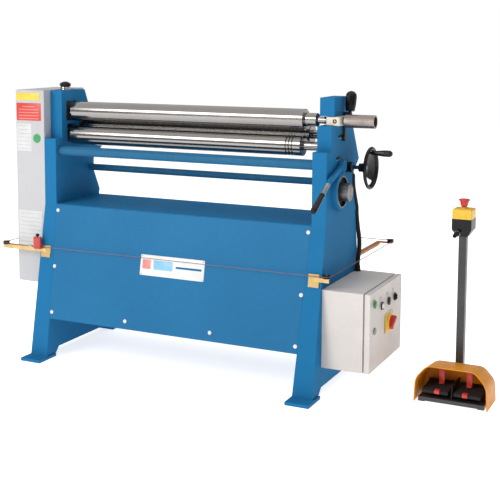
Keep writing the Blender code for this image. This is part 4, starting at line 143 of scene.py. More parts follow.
FINISHES: dict[str, Finish] = {
    "frame_blue": Finish("2672A3 226E9E 4A8CBC", 0.25, (0.42, 0.52), 0.0, 0.3, 0.0035, 4e-5, edge=0.002, shine=0.02),
    "panel_blue": Finish("24709F 206895 4A8CBC", 0.25, (0.4, 0.5), 0.0, 0.45, 0.0035, 3e-5, shine=0.14),
    "tie_blue": Finish("2A688F 276388 3C86B2", 0.0, (0.36, 0.48), drift=0.04, shine=0.1),
    "cover_grey": Finish("BEBEBF B5B5B8 DCDCDC", 0.3, (0.38, 0.5), 0.0, 0.4, 0.002, 3e-5),
    "drive_grey": Finish("5E6468 50565A 8C9296", 0.3, (0.45, 0.6), 0.0, 0.1, 0.004, 1.5e-4),
    "machined_steel": Finish("A8A8A6 8E8E8C D0D0CE", 0.4, (0.28, 0.42), 1.0, 0.05),
    "roll_steel": Finish("96928F 8F8B88 DCDAD6", 0.0, (0.13, 0.16), 1.0, 0.3, 0.001, 1e-7, (1.0, 0.01, 0.01), edge=0),
    "bearing_steel": Finish("8F8D8B 757371 C4C2C0", 0.45, (0.3, 0.48), 1.0, 0.03, 0.0012, stretch=(0.1, 1.0, 1.0)),
    "tube_steel": Finish("9E938D 8A807A D6CEC8", 0.0, (0.26, 0.4), 1.0, 0.04, 0.0008, 2e-6, (1.0, 0.02, 0.02), edge=0),
    "wire_steel": Finish("7C5A60 6A4C52 A08088", 0.0, (0.4, 0.55), depth=2e-5, edge=0),
    "bright_block": Finish("E8E1D3 DCD4C4 F4EEE2", 0.3, (0.3, 0.42), 0.15, grain=0.0015),
    "black_steel": Finish("1B1919 151414 3A3838", 0.25, (0.45, 0.6), 0.2, grain=0.0012),
    "passivated": Finish("D8BC84 C9A566 F0E2C0", 0.4, (0.28, 0.42), 0.75, grain=0.0015),
    "arm_bronze": Finish("B9773C A4662F D8A878", 0.3, (0.35, 0.5), 0.3, 0.08, 0.002, 2e-5),
    "chrome": Finish("C9C9C8 B4B4B3 E6E6E5", 0.0, (0.1, 0.2), 1.0, 0.02, 0.001, 2e-6, edge=0),
    "zinc": Finish("B8B6AE 9E9C94 D8D6CE", 0.35, (0.3, 0.45), 1.0, 0.01, 0.0008),
    # Near black: painted shade in the eccentric housing's bore and in the head's slots, and the dark rim of the
    # bearing plug.
    "dark_and_painted_shade": Finish("15171A 0F1113 2A2D30", 0.1, (0.6, 0.8), grain=0.002, depth=3e-5),
    "black_plastic": Finish("0B0B0D 101012 303034", 0.2, (0.24, 0.36), grain=0.0012, shine=0.3),
    "black_rubber": Finish("151517 1D1D1F 3E3E40", 0.3, (0.55, 0.72), grain=0.0015, depth=8e-5, shine=0.3),
    "post_black": Finish("3A393D 302F33 65646A", 0.35, (0.35, 0.5), 0.0, 0.1, 0.003, 4e-5, coat=0.15),
    "orange_paint": Finish("E8981E DC8B18 F2BE66", 0.3, (0.36, 0.48), 0.0, 0.12, 0.003, 4e-5, shine=0.25),
    "red_paint": Finish("C03A34 A93029 DE6A60", 0.35, (0.3, 0.42), 0.0, 0.05, 0.002, 3e-5, coat=0.2),
    "red_plastic": Finish("D23A34 BE2E2A E9746C", 0.25, (0.25, 0.36)),
    "green_plastic": Finish("2F9A57 22834A 6CC28C", 0.25, (0.2, 0.32), drift=0.02),
    "white_plastic": Finish("E8E6E2 DAD8D4 F6F5F2", 0.2, (0.25, 0.36), drift=0.02),
    "yellow_plastic": Finish("F0C43C E6B62E F8DC82", 0.25, (0.28, 0.4), drift=0.04),
    "cabinet_white": Finish("D9D3CF CEC7C2 F0EEEC", 0.3, (0.36, 0.48), 0.0, 0.2, 0.002, 3e-5, shine=0.12),
    "screw_white": Finish("F2F1EE E6E5E2 FFFFFF", 0.1, (0.25, 0.35), drift=0.01),
    "label_pale": Finish("D2D2D2 CACACB E4E4E4", 0.1, (0.3, 0.42), drift=0.05),
    "label_yellow": Finish("EBC84A E2BC3C F4DC84"),
    "label_sky": Finish("8EC6E6 82BCDE B4DAF0", 0.1, drift=0.02),
    "label_pink": Finish("E58F88 DB827B F0B4AE", 0.1, drift=0.02),
    "label_red": Finish("D1493F C43F36 E07C74"),
    "label_green": Finish("3F9E5C 348C4F 7CC492", drift=0.02),
    "label_white": Finish("E9E9E6 DEDEDB F6F6F4", 0.2, (0.3, 0.42), drift=0.05),
    "label_grey": Finish("A9ABAC 9A9C9D C8CACB", 0.2, (0.3, 0.42), 0.4, 0.02),
}

# Finishes of nodes that don't look like their slot in the record, by the start of their names.
OWN_FINISH = {
    "trip_bracket": "passivated", "trip_arm": "arm_bronze", "trip_pulley": "black_plastic",
    "lower_bearing": "black_steel", "rear_bearing": "black_steel", "roll_yoke": "black_steel",
    "release_lever": "black_steel", "front_tie_bar": "tie_blue", "rear_tie_bar": "tie_blue",
    "eccentric_shaft": "bearing_steel", "swing_bearing": "bright_block",
}


@dataclass(frozen=True)
class Number:
    """A shader value whose arithmetic is written as Math nodes.

    Args:
        nodes: the tree that holds the value.
        socket: the output that carries it.
    """

    nodes: "Nodes"
    socket: NodeSocket

    def _math(self, operation: str, first, second, clamp: bool = False) -> "Number":
        """Add a Math node.

        Args:
            operation: name of the Math operation.
            first: Number or plain value for the first input.
            second: Number or plain value for the second input.
            clamp: True to keep the result within 0 and 1.

        Returns:
            The node's result.
        """
        made = self.nodes.add("Math", {0: first, 1: second}, operation=operation, use_clamp=clamp)
        return Number(self.nodes, made.outputs[0])

    def __add__(self, other) -> "Number":
        """Return self + other."""
        return self._math("ADD", self, other)

    __radd__ = __add__

    def __sub__(self, other) -> "Number":
        """Return self - other."""
        return self._math("SUBTRACT", self, other)

    def __rsub__(self, other) -> "Number":
        """Return other - self."""
        return self._math("SUBTRACT", other, self)

    def __mul__(self, other) -> "Number":
        """Return self * other."""
        return self._math("MULTIPLY", self, other)

    __rmul__ = __mul__

    def between(self, low: float, high: float) -> "Number":
        """Return 0 at low and 1 at high, straight between them and level outside."""
        return self._math("DIVIDE", self - low, high - low, clamp=True)


class Nodes:
    """A node tree, and the one way in which nodes are added to it."""

    def __init__(self, tree: NodeTree) -> None:
        """Empty a node tree and keep it."""
        tree.nodes.clear()
        self.tree = tree

    def fill(self, node: Node, inputs: dict) -> None:
        """Fill a node's inputs.

        Args:
            node: the node.
            inputs: plain value, output or Number for each input, by its name or number.
        """
        for key, value in inputs.items():
            if isinstance(value, Number):
                value = value.socket
            if isinstance(value, NodeSocket):
                self.tree.links.new(value, node.inputs[key])
            else:
                node.inputs[key].default_value = value

    def add(self, kind: str, inputs: dict | None = None, **settings) -> Node:
        """Add a node.

        Args:
            kind: type name of the node, without its ShaderNode.
            inputs: what goes into its inputs, as for fill.
            settings: the node's own settings, which are set before its inputs.

        Returns:
            The new node.
        """
        made = self.tree.nodes.new(f"ShaderNode{kind}")
        for name, value in settings.items():
            setattr(made, name, value)
        self.fill(made, inputs or {})
        return made


class Surface(Nodes):
    """A material and its node tree."""

    def __init__(self, name: str) -> None:
        """Start a material of that name with an empty Principled shader."""
        self.material = bpy.data.materials.new(name)
        self.material.use_nodes = True
        super().__init__(self.material.node_tree)
        self.shader = self.add("BsdfPrincipled")
        self.add("OutputMaterial", {"Surface": self.shader.outputs["BSDF"]})
        self.coordinates = self.add("TexCoord").outputs["Object"]

    def noise(self, size: float, detail: float = 2.0, stretch: Point = (1.0, 1.0, 1.0)) -> Number:
        """Return cloudy noise from about 0 to 1.

        Args:
            size: size of one cloud.
            detail: how many finer layers are added.
            stretch: how much finer the noise runs along each axis.

        Returns:
            The noise value.
        """
        scale = tuple(value / size for value in stretch)
        mapping = self.add("Mapping", {"Vector": self.coordinates, "Scale": scale})
        texture = self.add("TexNoise", {"Vector": mapping.outputs[0], "Scale": 1.0, "Detail": detail})
        return Number(self, texture.outputs[0])

    def turning(self, rounded: NodeSocket) -> Number:
        """Measure how far a rounded normal turns away from the flat one.

        Args:
            rounded: the rounded normal.

        Returns:
            0 where they agree, and more the further they part.
        """
        flat = self.add("NewGeometry").outputs["Normal"]
        turn = self.add("VectorMath", {0: rounded, 1: flat}, operation="DOT_PRODUCT")
        return 1.0 - Number(self, turn.outputs["Value"])

    def mixed(self, factor: Number, first, second) -> NodeSocket:
        """Return a colour between two.

        Args:
            factor: 0 for the first colour and 1 for the second.
            first: colour or output.
            second: colour or output.

        Returns:
            The colour output.
        """
        return self.add("Mix", {0: factor, 6: first, 7: second}, data_type="RGBA").outputs[2]

    def dress(self, inputs: dict) -> None:
        """Set or link inputs of the Principled shader, by their names."""
        self.fill(self.shader, inputs)


class Paintwork:
    """Makes one material for each finish and keeps it."""

    def __init__(self, finishes: dict[str, Finish]) -> None:
        """Keep the table of finishes."""
        self.finishes = finishes
        self.made: dict[str, Material] = {}

    def get(self, name: str) -> Material:
        """Return the material of a finish, made on its first use."""
        if name not in self.made:
            self.made[name] = self.build(name, self.finishes[name])
        return self.made[name]

    def build(self, name: str, finish: Finish) -> Material:
        """Build a material from its finish.

        Args:
            name: name of the finish.
            finish: what it looks like.

        Returns:
            The material.
        """
        surface = Surface(name)
        main, tint, worn = (shade(code) for code in finish.colours.split())
        clouds = surface.noise(finish.drift, 3.0).between(0.35, 0.65)
        fine = surface.noise(finish.grain * 6, 2.0, finish.stretch).between(0.3, 0.7)
        colour = surface.mixed(clouds * 0.7 + fine * 0.3, main, tint)
        relief = surface.noise(finish.grain, 2.0, finish.stretch)
        bump = {"Height": relief, "Distance": finish.depth, "Strength": 1.0}
        if finish.edge:
            rounded = surface.add("Bevel", {"Radius": finish.edge}, samples=4).outputs[0]
            edges = surface.turning(rounded).between(0.02, 0.2)
            patches = surface.noise(0.02, 3.0).between(0.38, 0.62)
            colour = surface.mixed(edges * patches * finish.wear, colour, worn)
            bump["Normal"] = rounded
        low, high = finish.rough
        surface.dress({"Base Color": colour, "Roughness": low + (clouds * 0.5 + fine * 0.5) * (high - low),
                       "Metallic": finish.metallic, "Specular IOR Level": finish.shine,
                       "Normal": surface.add("Bump", bump).outputs[0]})
        if finish.coat:
            surface.dress({"Coat Weight": finish.coat, "Coat Roughness": 0.18})
        return surface.material


def standing(place: Vector, normal: Vector) -> Matrix:
    """Stand a frame on a place.

    Args:
        place: its origin.
        normal: direction of its Z.

    Returns:
        The frame, whose Y is as upright as it can be.
    """
    normal = normal.normalized()
    upright = Vector((0.0, 0.0, 1.0)) if abs(normal.z) < 0.9 else Vector((0.0, 1.0, 0.0))
    side = upright.cross(normal).normalized()
    turned = Matrix((side, normal.cross(side), normal)).transposed().to_4x4()
    return Matrix.Translation(place) @ turned


def moved(frame: Matrix, x: float, y: float, z: float = 0.0) -> Matrix:
    """Return a frame moved along its own axes."""
    return frame @ Matrix.Translation((x, y, z))


class Places:
    """Turns places of the machine into the shared frame."""

    FOOT_REACH = 0.0285
    FOOT_FRONT = -0.1795
    AHEAD = -0.6
    BESIDE = 1.7

    def __init__(self, nodes: dict[str, Object]) -> None:
        """Find the machine's own origin from the left frame's feet.

        Args:
            nodes: the CAD nodes by name.
        """
        low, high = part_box("left_frame")
        self.nodes = nodes
        self.trees: dict[str, BVHTree] = {}
        self.origin = Vector((high[0] - self.FOOT_REACH, low[1] - self.FOOT_FRONT, 0.0))

    def at(self, x: float, y: float, z: float) -> Vector:
        """Return a point of the shared frame."""
        return self.origin + Vector((x, y, z))

    def facing(self, normal: Vector, x: float, y: float, z: float) -> Matrix:
        """Return a frame at a place with its Z along normal."""
        return standing(self.at(x, y, z), normal)

    def met(self, node: str, start: Vector, direction: Vector) -> Matrix:
        """Find where a ray first meets a node and stand a frame on that spot.

        Args:
            node: name of the CAD node.
            start: start of the ray, in the shared frame.
            direction: direction of the ray.

        Returns:
            A frame whose Z is the outward normal, and whose Y is as upright as it can be.
        """
        if node not in self.trees:
            piece = self.nodes[node]
            points = [piece.matrix_world @ vertex.co for vertex in piece.data.vertices]
            faces = [tuple(polygon.vertices) for polygon in piece.data.polygons]
            self.trees[node] = BVHTree.FromPolygons(points, faces)
        place, normal, _, _ = self.trees[node].ray_cast(start, direction)
        if place is None:
            raise ValueError(f"no surface of {node} there")
        return standing(place, normal)

    def front(self, node: str, x: float, z: float) -> Matrix:
        """Return a frame where a node is first met from the front."""
        return self.met(node, self.at(x, self.AHEAD, z), -FRONT)

    def side(self, node: str, y: float, z: float) -> Matrix:
        """Return a frame where a node is first met from the right."""
        return self.met(node, self.at(self.BESIDE, y, z), -RIGHT)

    def level(self, node: str, spot: Pair, off: Pair) -> Matrix:
        """Return a frame that faces right over an opening, level with the node's face beside it.

        Args:
            node: name of the CAD node.
            spot: Y and Z of the frame.
            off: how far from there the face is met.

        Returns:
            The frame.
        """
        frame = self.facing(RIGHT, 0.0, *spot)
        frame.translation.x = self.side(node, spot[0] + off[0], spot[1] + off[1]).translation.x
        return frame


def mm(*values: float) -> Profile:
    """Return a row of pairs from their values in millimetres, such as radius and height."""
    return tuple((first / 1000, second / 1000) for first, second in zip(values[::2], values[1::2]))


def placed(name: str, data: ID) -> Object:
    """Put an object into the scene.

    Args:
        name: its name.
        data: its mesh, light or camera.

    Returns:
        The object.
    """
    made = bpy.data.objects.new(name, data)
    bpy.context.collection.objects.link(made)
    return made


def skin(shell: bmesh.types.BMesh, rows: list[list[bmesh.types.BMVert]], closed: bool = True) -> None:
    """Lay a band of faces between each row of points and the next.

    Args:
        shell: the mesh of the points.
        rows: rows of equally many points.
        closed: True where each row is a ring.
    """
    for first, second in zip(rows, rows[1:]):
        for k in range(len(first) if closed else len(first) - 1):
            after = (k + 1) % len(first)
            shell.faces.new((first[k], first[after], second[after], second[k]))


def curve(points: list[Vector], step: float) -> list[Vector]:
    """Return points spaced evenly along a smooth line through the given ones.

    Args:
        points: points that the line passes through.
        step: distance between the new points.

    Returns:
        The new points.
    """
    ends = [points[0] * 2 - points[1]] + points + [points[-1] * 2 - points[-2]]
    line = []
    for before, start, end, after in zip(ends, ends[1:], ends[2:], ends[3:]):
        count = max(2, round((end - start).length / step))
        for k in range(count):
            t = k / count
            line.append(0.5 * (2 * start + (end - before) * t + (2 * before - 5 * start + 4 * end - after) * t ** 2
                               + (3 * start - before - 3 * end + after) * t ** 3))
    return line + [points[-1]]


class Piece:
    """A mesh under construction, made of closed shells."""

    SUNK = 0.0002
    HOLE_SIDES = 32
    SCREW_SIDES = 20
    SCREW = ((1.45, 0.175), (1.392, 0.25), (1.02, 0.25), (1.0, 0.4), (0.88, 0.82), (0.6, 1.0), (0.28, 1.0), (0.2, 0.6),
             (0.0, 0.6))
    SHARP = math.radians(38.0)

    def __init__(self, name: str, *finishes: str) -> None:
        """Start an empty piece.

        Args:
            name: name of the piece.
            finishes: names of its finishes, one for each material index.
        """
        self.name = name
        self.finishes = finishes
        self.mesh = bmesh.new()

    def add(self, shell: bmesh.types.BMesh, frame: Matrix, index: int) -> None:
        """Move a closed shell into its frame and add it to the piece.

        Args:
            shell: the shell, which is used up.
            frame: where it goes.
            index: material index of its faces.
        """
        bmesh.ops.recalc_face_normals(shell, faces=shell.faces)
        bmesh.ops.transform(shell, matrix=frame, verts=shell.verts)
        for face in shell.faces:
            face.material_index = index
            face.smooth = True
        data = bpy.data.meshes.new("shell")
        shell.to_mesh(data)
        shell.free()
        self.mesh.from_mesh(data)
        bpy.data.meshes.remove(data)

    def plate(self, frame: Matrix, width: float, height: float, depth: float, rounding: float = 0.002,
              edge: float = 0.0002, index: int = 0, sunk: float = SUNK) -> None:
        """Add a plate with rounded corners that lies on the frame's XY plane.

        Args:
            frame: where it goes.
            width: size along the frame's X.
            height: size along the frame's Y.
            depth: thickness.
            rounding: radius of the corners.
            edge: width of the eased upper edge.
            index: material index.
            sunk: how far it reaches into what carries it.
        """
        shell = bmesh.new()
        size = Matrix.Diagonal((width, height, depth + sunk, 1.0))
        bmesh.ops.create_cube(shell, size=1.0, matrix=Matrix.Translation((0.0, 0.0, (depth - sunk) / 2)) @ size)
        uprights = [e for e in shell.edges if abs(e.verts[0].co.z - e.verts[1].co.z) > depth / 2]
        bmesh.ops.bevel(shell, geom=uprights, offset=rounding, segments=4, profile=0.5, affect="EDGES", material=-1)
        rim = [e for e in shell.edges if all(abs(v.co.z - depth) < 1e-7 for v in e.verts)]
        bmesh.ops.bevel(shell, geom=rim, offset=edge, segments=2, profile=0.5, affect="EDGES", material=-1)
        self.add(shell, frame, index)

    def turned(self, frame: Matrix, profile: Profile, sides: int = 32, index: int = 0) -> None:
        """Add a shell turned about the frame's Z axis.

        Args:
            frame: where it goes.
            profile: radius and height of each point, from axis to axis or as a closed ring.
            sides: number of facets.
            index: material index.
        """
        shell = bmesh.new()
        points = [shell.verts.new((radius, 0.0, height)) for radius, height in profile]
        pairs = list(zip(points, points[1:]))
        if profile[0][0] > 0.0:
            pairs.append((points[-1], points[0]))
        edges = [shell.edges.new(pair) for pair in pairs]
        bmesh.ops.spin(shell, geom=points + edges, axis=UP, angle=math.tau, steps=sides, use_merge=True)
        bmesh.ops.remove_doubles(shell, verts=shell.verts, dist=1e-6)
        self.add(shell, frame, index)

    def holed(self, frame: Matrix, low: Pair, high: Pair, radius: float, depth: float, index: int = 0) -> None:
        """Add a rectangular plate with a round hole at the frame's origin.

        Args:
            frame: where it goes.
            low: its lower left corner in the frame's XY plane.
            high: its upper right corner.
            radius: radius of the hole.
            depth: thickness.
            index: material index.
        """
        shell = bmesh.new()
        turns = [math.tau * k / self.HOLE_SIDES for k in range(self.HOLE_SIDES)]
        turns += [math.atan2(y, x) % math.tau for x in (low[0], high[0]) for y in (low[1], high[1])]
        walls = []
        for height, ease in ((-self.SUNK, 0.0), (depth - self.SUNK, 0.0), (depth, self.SUNK)):
            inner, outer = [], []
            for turn in sorted(turns):
                x, y = math.cos(turn), math.sin(turn)
                reach = min((high[k] if c > 0.0 else low[k]) / c for k, c in enumerate((x, y)) if abs(c) > 1e-9) - ease
                outer.append(shell.verts.new((reach * x, reach * y, height)))
                inner.append(shell.verts.new(((radius + ease) * x, (radius + ease) * y, height)))
            walls.append((inner, outer))
        (in_low, out_low), (in_mid, out_mid), (in_top, out_top) = walls
        skin(shell, [in_low, in_mid, in_top, out_top, out_mid, out_low, in_low])
        self.add(shell, frame, index)

    def screw(self, frame: Matrix, radius: float, height: float, index: int = 0) -> None:
        """Add a domed screw head with a round recess, on its washer.

        Args:
            frame: where it goes.
            radius: radius of the head.
            height: height of the head.
            index: material index.
        """
        head = [(radius * across, height * up) for across, up in self.SCREW]
        self.turned(frame, ((0.0, -0.0003), (head[0][0], -0.0003), *head), self.SCREW_SIDES, index)

    def tube(self, points: list[Vector], radius: float, sides: int, rib: float) -> None:
        """Add a round tube with closed ends along a row of points.

        Args:
            points: middle line of the tube.
            radius: its radius.
            sides: facets round it.
            rib: how far every second ring is drawn in.
        """
        shell = bmesh.new()
        rings = []
        for i, point in enumerate(points):
            frame = standing(point, points[min(i + 1, len(points) - 1)] - points[max(i - 1, 0)])
            reach = radius - rib * (i % 2)
            rings.append([shell.verts.new(frame @ Vector((reach * math.cos(a), reach * math.sin(a), 0.0)))
                          for a in (math.tau * k / sides for k in range(sides))])
        skin(shell, rings)
        shell.faces.new(list(reversed(rings[0])))
        shell.faces.new(rings[-1])
        self.add(shell, Matrix.Identity(4), 0)

    def finish(self, paint: Paintwork, body: Body = Body.MACHINE) -> Object:
        """Turn the piece into an object that rides on a body.

        Args:
            paint: where its materials come from.
            body: the body that carries it.

        Returns:
            The object.
        """
        data = bpy.data.meshes.new(self.name)
        self.mesh.to_mesh(data)
        self.mesh.free()
        for name in self.finishes:
            data.materials.append(paint.get(name))
        data.set_sharp_from_angle(angle=self.SHARP)
        made = placed(self.name, data)
        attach(made, body.value)
        LOG.info("%s: %d faces", self.name, len(data.polygons))
        return made


@dataclass(frozen=True)
class Carried:
    """Gives the CAD nodes their materials and smooth shading.

    Args:
        frame: the loaded frame.
        paint: makes the materials.
        sharp: angle from which an edge stays sharp.
    """

    frame: dict
    paint: Paintwork
    sharp: float = math.radians(34.0)

    def build(self) -> None:
        """Assign a material to every node, its own or that of its slot in the record."""
        slots = {part["node"]: part["material_slot"] for part in self.frame["record"]["subparts"]}
        for name, node in self.frame["nodes"].items():
            own = next((finish for start, finish in OWN_FINISH.items() if name.startswith(start)), slots[name])
            material = self.paint.get(own)
            if not node.data.materials:
                node.data.materials.append(material)
            for slot in node.material_slots:
                slot.material = material
            node.data.shade_smooth()
            node.data.set_sharp_from_angle(angle=self.sharp)
        LOG.info("%d nodes given their materials", len(self.frame["nodes"]))


@dataclass(frozen=True)
class Assembly:
    """A group of pieces, with the places and the paint that they share.

    Args:
        places: turns places of the machine into the shared frame.
        paint: makes the materials.
    """

    places: Places
    paint: Paintwork


@dataclass(frozen=True)
class Panels(Assembly):
    """Screws and the blank plate on the front panel, and blank plates on the gear cover."""

    inset: float = 0.0095
    span: float = 1.1424
    deck: float = 0.6361
    flare: float = 0.0382
    screw_heights: Sizes = (0.61, 0.381, 0.194)
    bottom_heights: Pair = (0.198, 0.2)
    screw: Pair = (0.0052, 0.0034)
    sheet: float = 0.0008
    print_depth: float = 0.00015
    plate_x: Pair = (0.43, 0.716)
    plate_z: Pair = (0.386, 0.468)
    plate_screw: Pair = (0.0018, 0.0014)
    plate_rounding: float = 0.004
    plate_fields: tuple[Sizes, ...] = (
        (1, -0.4, 0.04, 0.13, 0.44, 0.003), (2, -0.14, 0.04, 0.3, 0.44, 0.003), (3, 0.26, 0.02, 0.4, 0.1, 0.002))
    corner: float = 0.006
    cover_x: float = -0.2
    cover_inset: float = 0.003
    cover_fields: tuple[tuple[Pair, Pair, int], ...] = (
        ((-0.199, -0.079), (1.067, 1.098), 0), ((-0.198, -0.073), (0.981, 1.055), 1),
        ((-0.197, -0.122), (0.852, 0.968), 2), ((-0.201, -0.073), (0.431, 0.598), 2))
    fine_rule: Pair = (0.0012, 0.0005)
    bold_rule: Pair = (0.0035, 0.001)
    disc_spot: Pair = (-0.095, 0.907)
    disc: Profile = mm(0, -0.3, 19, -0.3, 19, 0.6, 18.5, 0.8, 14.5, 0.8, 14.3, 0.5, 0, 0.5)

    def screws(self) -> None:
        """Set the panel screws in from its edges: three a side and two along the bottom."""
        piece = Piece("panel_screws", "screw_white")
        sides = (self.inset, self.span - self.inset)
        third = self.span / 3
        spots = [(side, z) for z in self.screw_heights for side in sides]
        spots += [(third * (k + 1), z) for k, z in enumerate(self.bottom_heights)]
        for x, z in spots:
            inset = self.flare * (self.deck - z) if x in sides else 0.0
            x += inset if x < self.span / 2 else -inset
            piece.screw(self.places.front("front_panel", x, z), *self.screw)
        piece.finish(self.paint)

    def name_plate(self) -> None:
        """Set the blank plate with its two plain fields and blue rule on the front panel."""
        (x0, x1), (z0, z1) = self.plate_x, self.plate_z
        piece = Piece("panel_plate", "label_white", "label_pink", "label_sky", "frame_blue", "zinc")
        middle = self.places.front("front_panel", (x0 + x1) / 2, (z0 + z1) / 2)
        width, height = x1 - x0, z1 - z0
        piece.plate(middle, width, height, self.sheet, self.plate_rounding)
        for index, x, y, across, up, rounding in self.plate_fields:
            field = moved(middle, width * x, height * y, self.sheet)
            piece.plate(field, width * across, height * up, self.sheet / 4, rounding, 0.0001, index)
        for side in (-1, 1):
            for level in (-1, 1):
                place = moved(middle, side * (width / 2 - self.corner), level * (height / 2 - self.corner), self.sheet)
                piece.screw(place, *self.plate_screw, 4)
        piece.finish(self.paint)

    def field(self, piece: Piece, across: Pair, up: Pair, index: int) -> None:
        """Set one blank plate on the front of the gear cover, with plain rules in place of its lines.

        Args:
            piece: the piece that it joins.
            across: its left and right edges.
            up: its lower and upper edges.
            index: 0 for a plain plate, 1 for the red one, 2 for the pale ones.
        """
        (x0, x1), (z0, z1) = across, up
        inset = self.cover_inset if x0 < self.cover_x else 0.0
        frame = self.places.front("gear_cover", (x0 + x1) / 2 + inset, (z0 + z1) / 2)
        width, height = x1 - x0 - 2 * inset, z1 - z0
        piece.plate(frame, width, height, self.sheet, 0.003, 0.0002, index)
        rules = []
        if index == 2:
            rows = 9 if height > 0.14 else 7
            rules = [(0.42 - 0.84 * row / (rows - 1), 0.86, *self.fine_rule, 4) for row in range(rows)]
        if index == 1:
            rules = [(0.3 - 0.17 * row, 0.82 if row else 0.5, *self.bold_rule, 5) for row in range(5)]
        for level, share, thick, rounding, colour in rules:
            line = moved(frame, 0.0, height * level, self.sheet)
            piece.plate(line, width * share, thick, self.print_depth, rounding, 0.00005, colour)

    def cover_plates(self) -> None:
        """Set the blank plates and the green disc on the front of the gear cover."""
        piece = Piece("cover_plates", "label_yellow", "label_red", "label_pale", "label_green", "label_grey",
                      "label_pink")
        for across, up, index in self.cover_fields:
            self.field(piece, across, up, index)
        piece.turned(self.places.front("gear_cover", *self.disc_spot), self.disc, 40, 3)
        piece.finish(self.paint)

    def build(self) -> None:
        """Add every plate and screw."""
        self.screws()
        self.name_plate()
        self.cover_plates()


@dataclass(frozen=True)
class ControlDoor(Assembly):
    """Plates, bezels and the seal on the door of the control cabinet."""

    legend: Sizes = (0.026, 0.0115, 0.0006, 0.0015)
    legends: Profile = mm(88, 368.5, 172, 368.5, 249, 368.5)
    switch: Pair = (0.194, 0.254)
    switch_aside: Pair = (0.036, 0.036)
    yellow_low: Pair = (0.146, 0.218)
    yellow_high: Pair = (0.242, 0.29)
    yellow_hole: float = 0.0275
    yellow_rim: float = 0.0345
    yellow_sheet: float = 0.0012
    corner: float = 0.007
    screw: Pair = (0.0022, 0.0014)
    bezel_aside: Pair = (0.0, 0.0129)
    bezels: Profile = mm(6, 364, 94, 339, 178, 339, 255, 339)
    bezel: Profile = mm(11.2, -0.3, 15.6, -0.3, 15.6, 3.6, 14.8, 4.8, 12.2, 4.8, 11.2, 4)
    edge_y: Pair = (-0.033, 0.357)
    edge_z: Pair = (0.112, 0.406)
    seal_x: float = 1.3625
    seal_width: float = 0.006
    seal_inset: float = 0.009
    seal_form: Point = (0.0035, 0.001, 0.0006)
    seal_sunk: float = 0.001

    def plates(self) -> None:
        """Set the blank legend plates, the yellow plate behind the main switch and the bezels."""
        piece = Piece("door_plates", "label_grey", "label_yellow", "zinc", "black_plastic", "green_plastic")
        for spot in self.legends:
            piece.plate(self.places.side("cabinet_door", *spot), *self.legend)
        centre = self.places.level("cabinet_door", self.switch, self.switch_aside)
        low, high = ((y - self.switch[0], z - self.switch[1]) for y, z in (self.yellow_low, self.yellow_high))
        hole, rim = self.yellow_hole, self.yellow_rim
        piece.holed(centre, low, high, hole, self.yellow_sheet, 1)
        shroud = ((hole, 0.0005), (rim, 0.0005), (rim - 0.0005, 0.0085), (rim - 0.002, 0.01), (hole + 0.0008, 0.01),
                  (hole, 0.009))
        piece.turned(centre, shroud, 48, 1)
        for side in (low[0] + self.corner, high[0] - self.corner):
            for level in (low[1] + self.corner, high[1] - self.corner):
                piece.screw(moved(centre, side, level, self.yellow_sheet), *self.screw, 2)
        for spot in self.bezels:
            frame = self.places.level("cabinet_door", spot, self.bezel_aside)
            piece.turned(frame, self.bezel, 36, 4 if spot == self.bezels[0] else 3)
        piece.finish(self.paint, Body.DOOR)

    def seal(self) -> None:
        """Lay the black rubber seal round the inside of the door's edge."""
        piece = Piece("door_seal", "black_rubber")
        thick, inset = self.seal_width, self.seal_inset
        (front, rear), (low, high) = self.edge_y, self.edge_z
        across, up = rear - front - 2 * thick, high - low - 4 * thick
        strips = [((front + rear) / 2, z, across, thick) for z in (high - inset, low + inset)]
        strips += [(y, (low + high) / 2, thick, up) for y in (front + inset, rear - inset)]
        for y, z, width, height in strips:
            place = self.places.facing(RIGHT, self.seal_x, y, z)
            piece.plate(place, width, height, *self.seal_form, sunk=self.seal_sunk)
        piece.finish(self.paint, Body.DOOR)

    def build(self) -> None:
        """Add every piece of the door."""
        self.plates()
        self.seal()


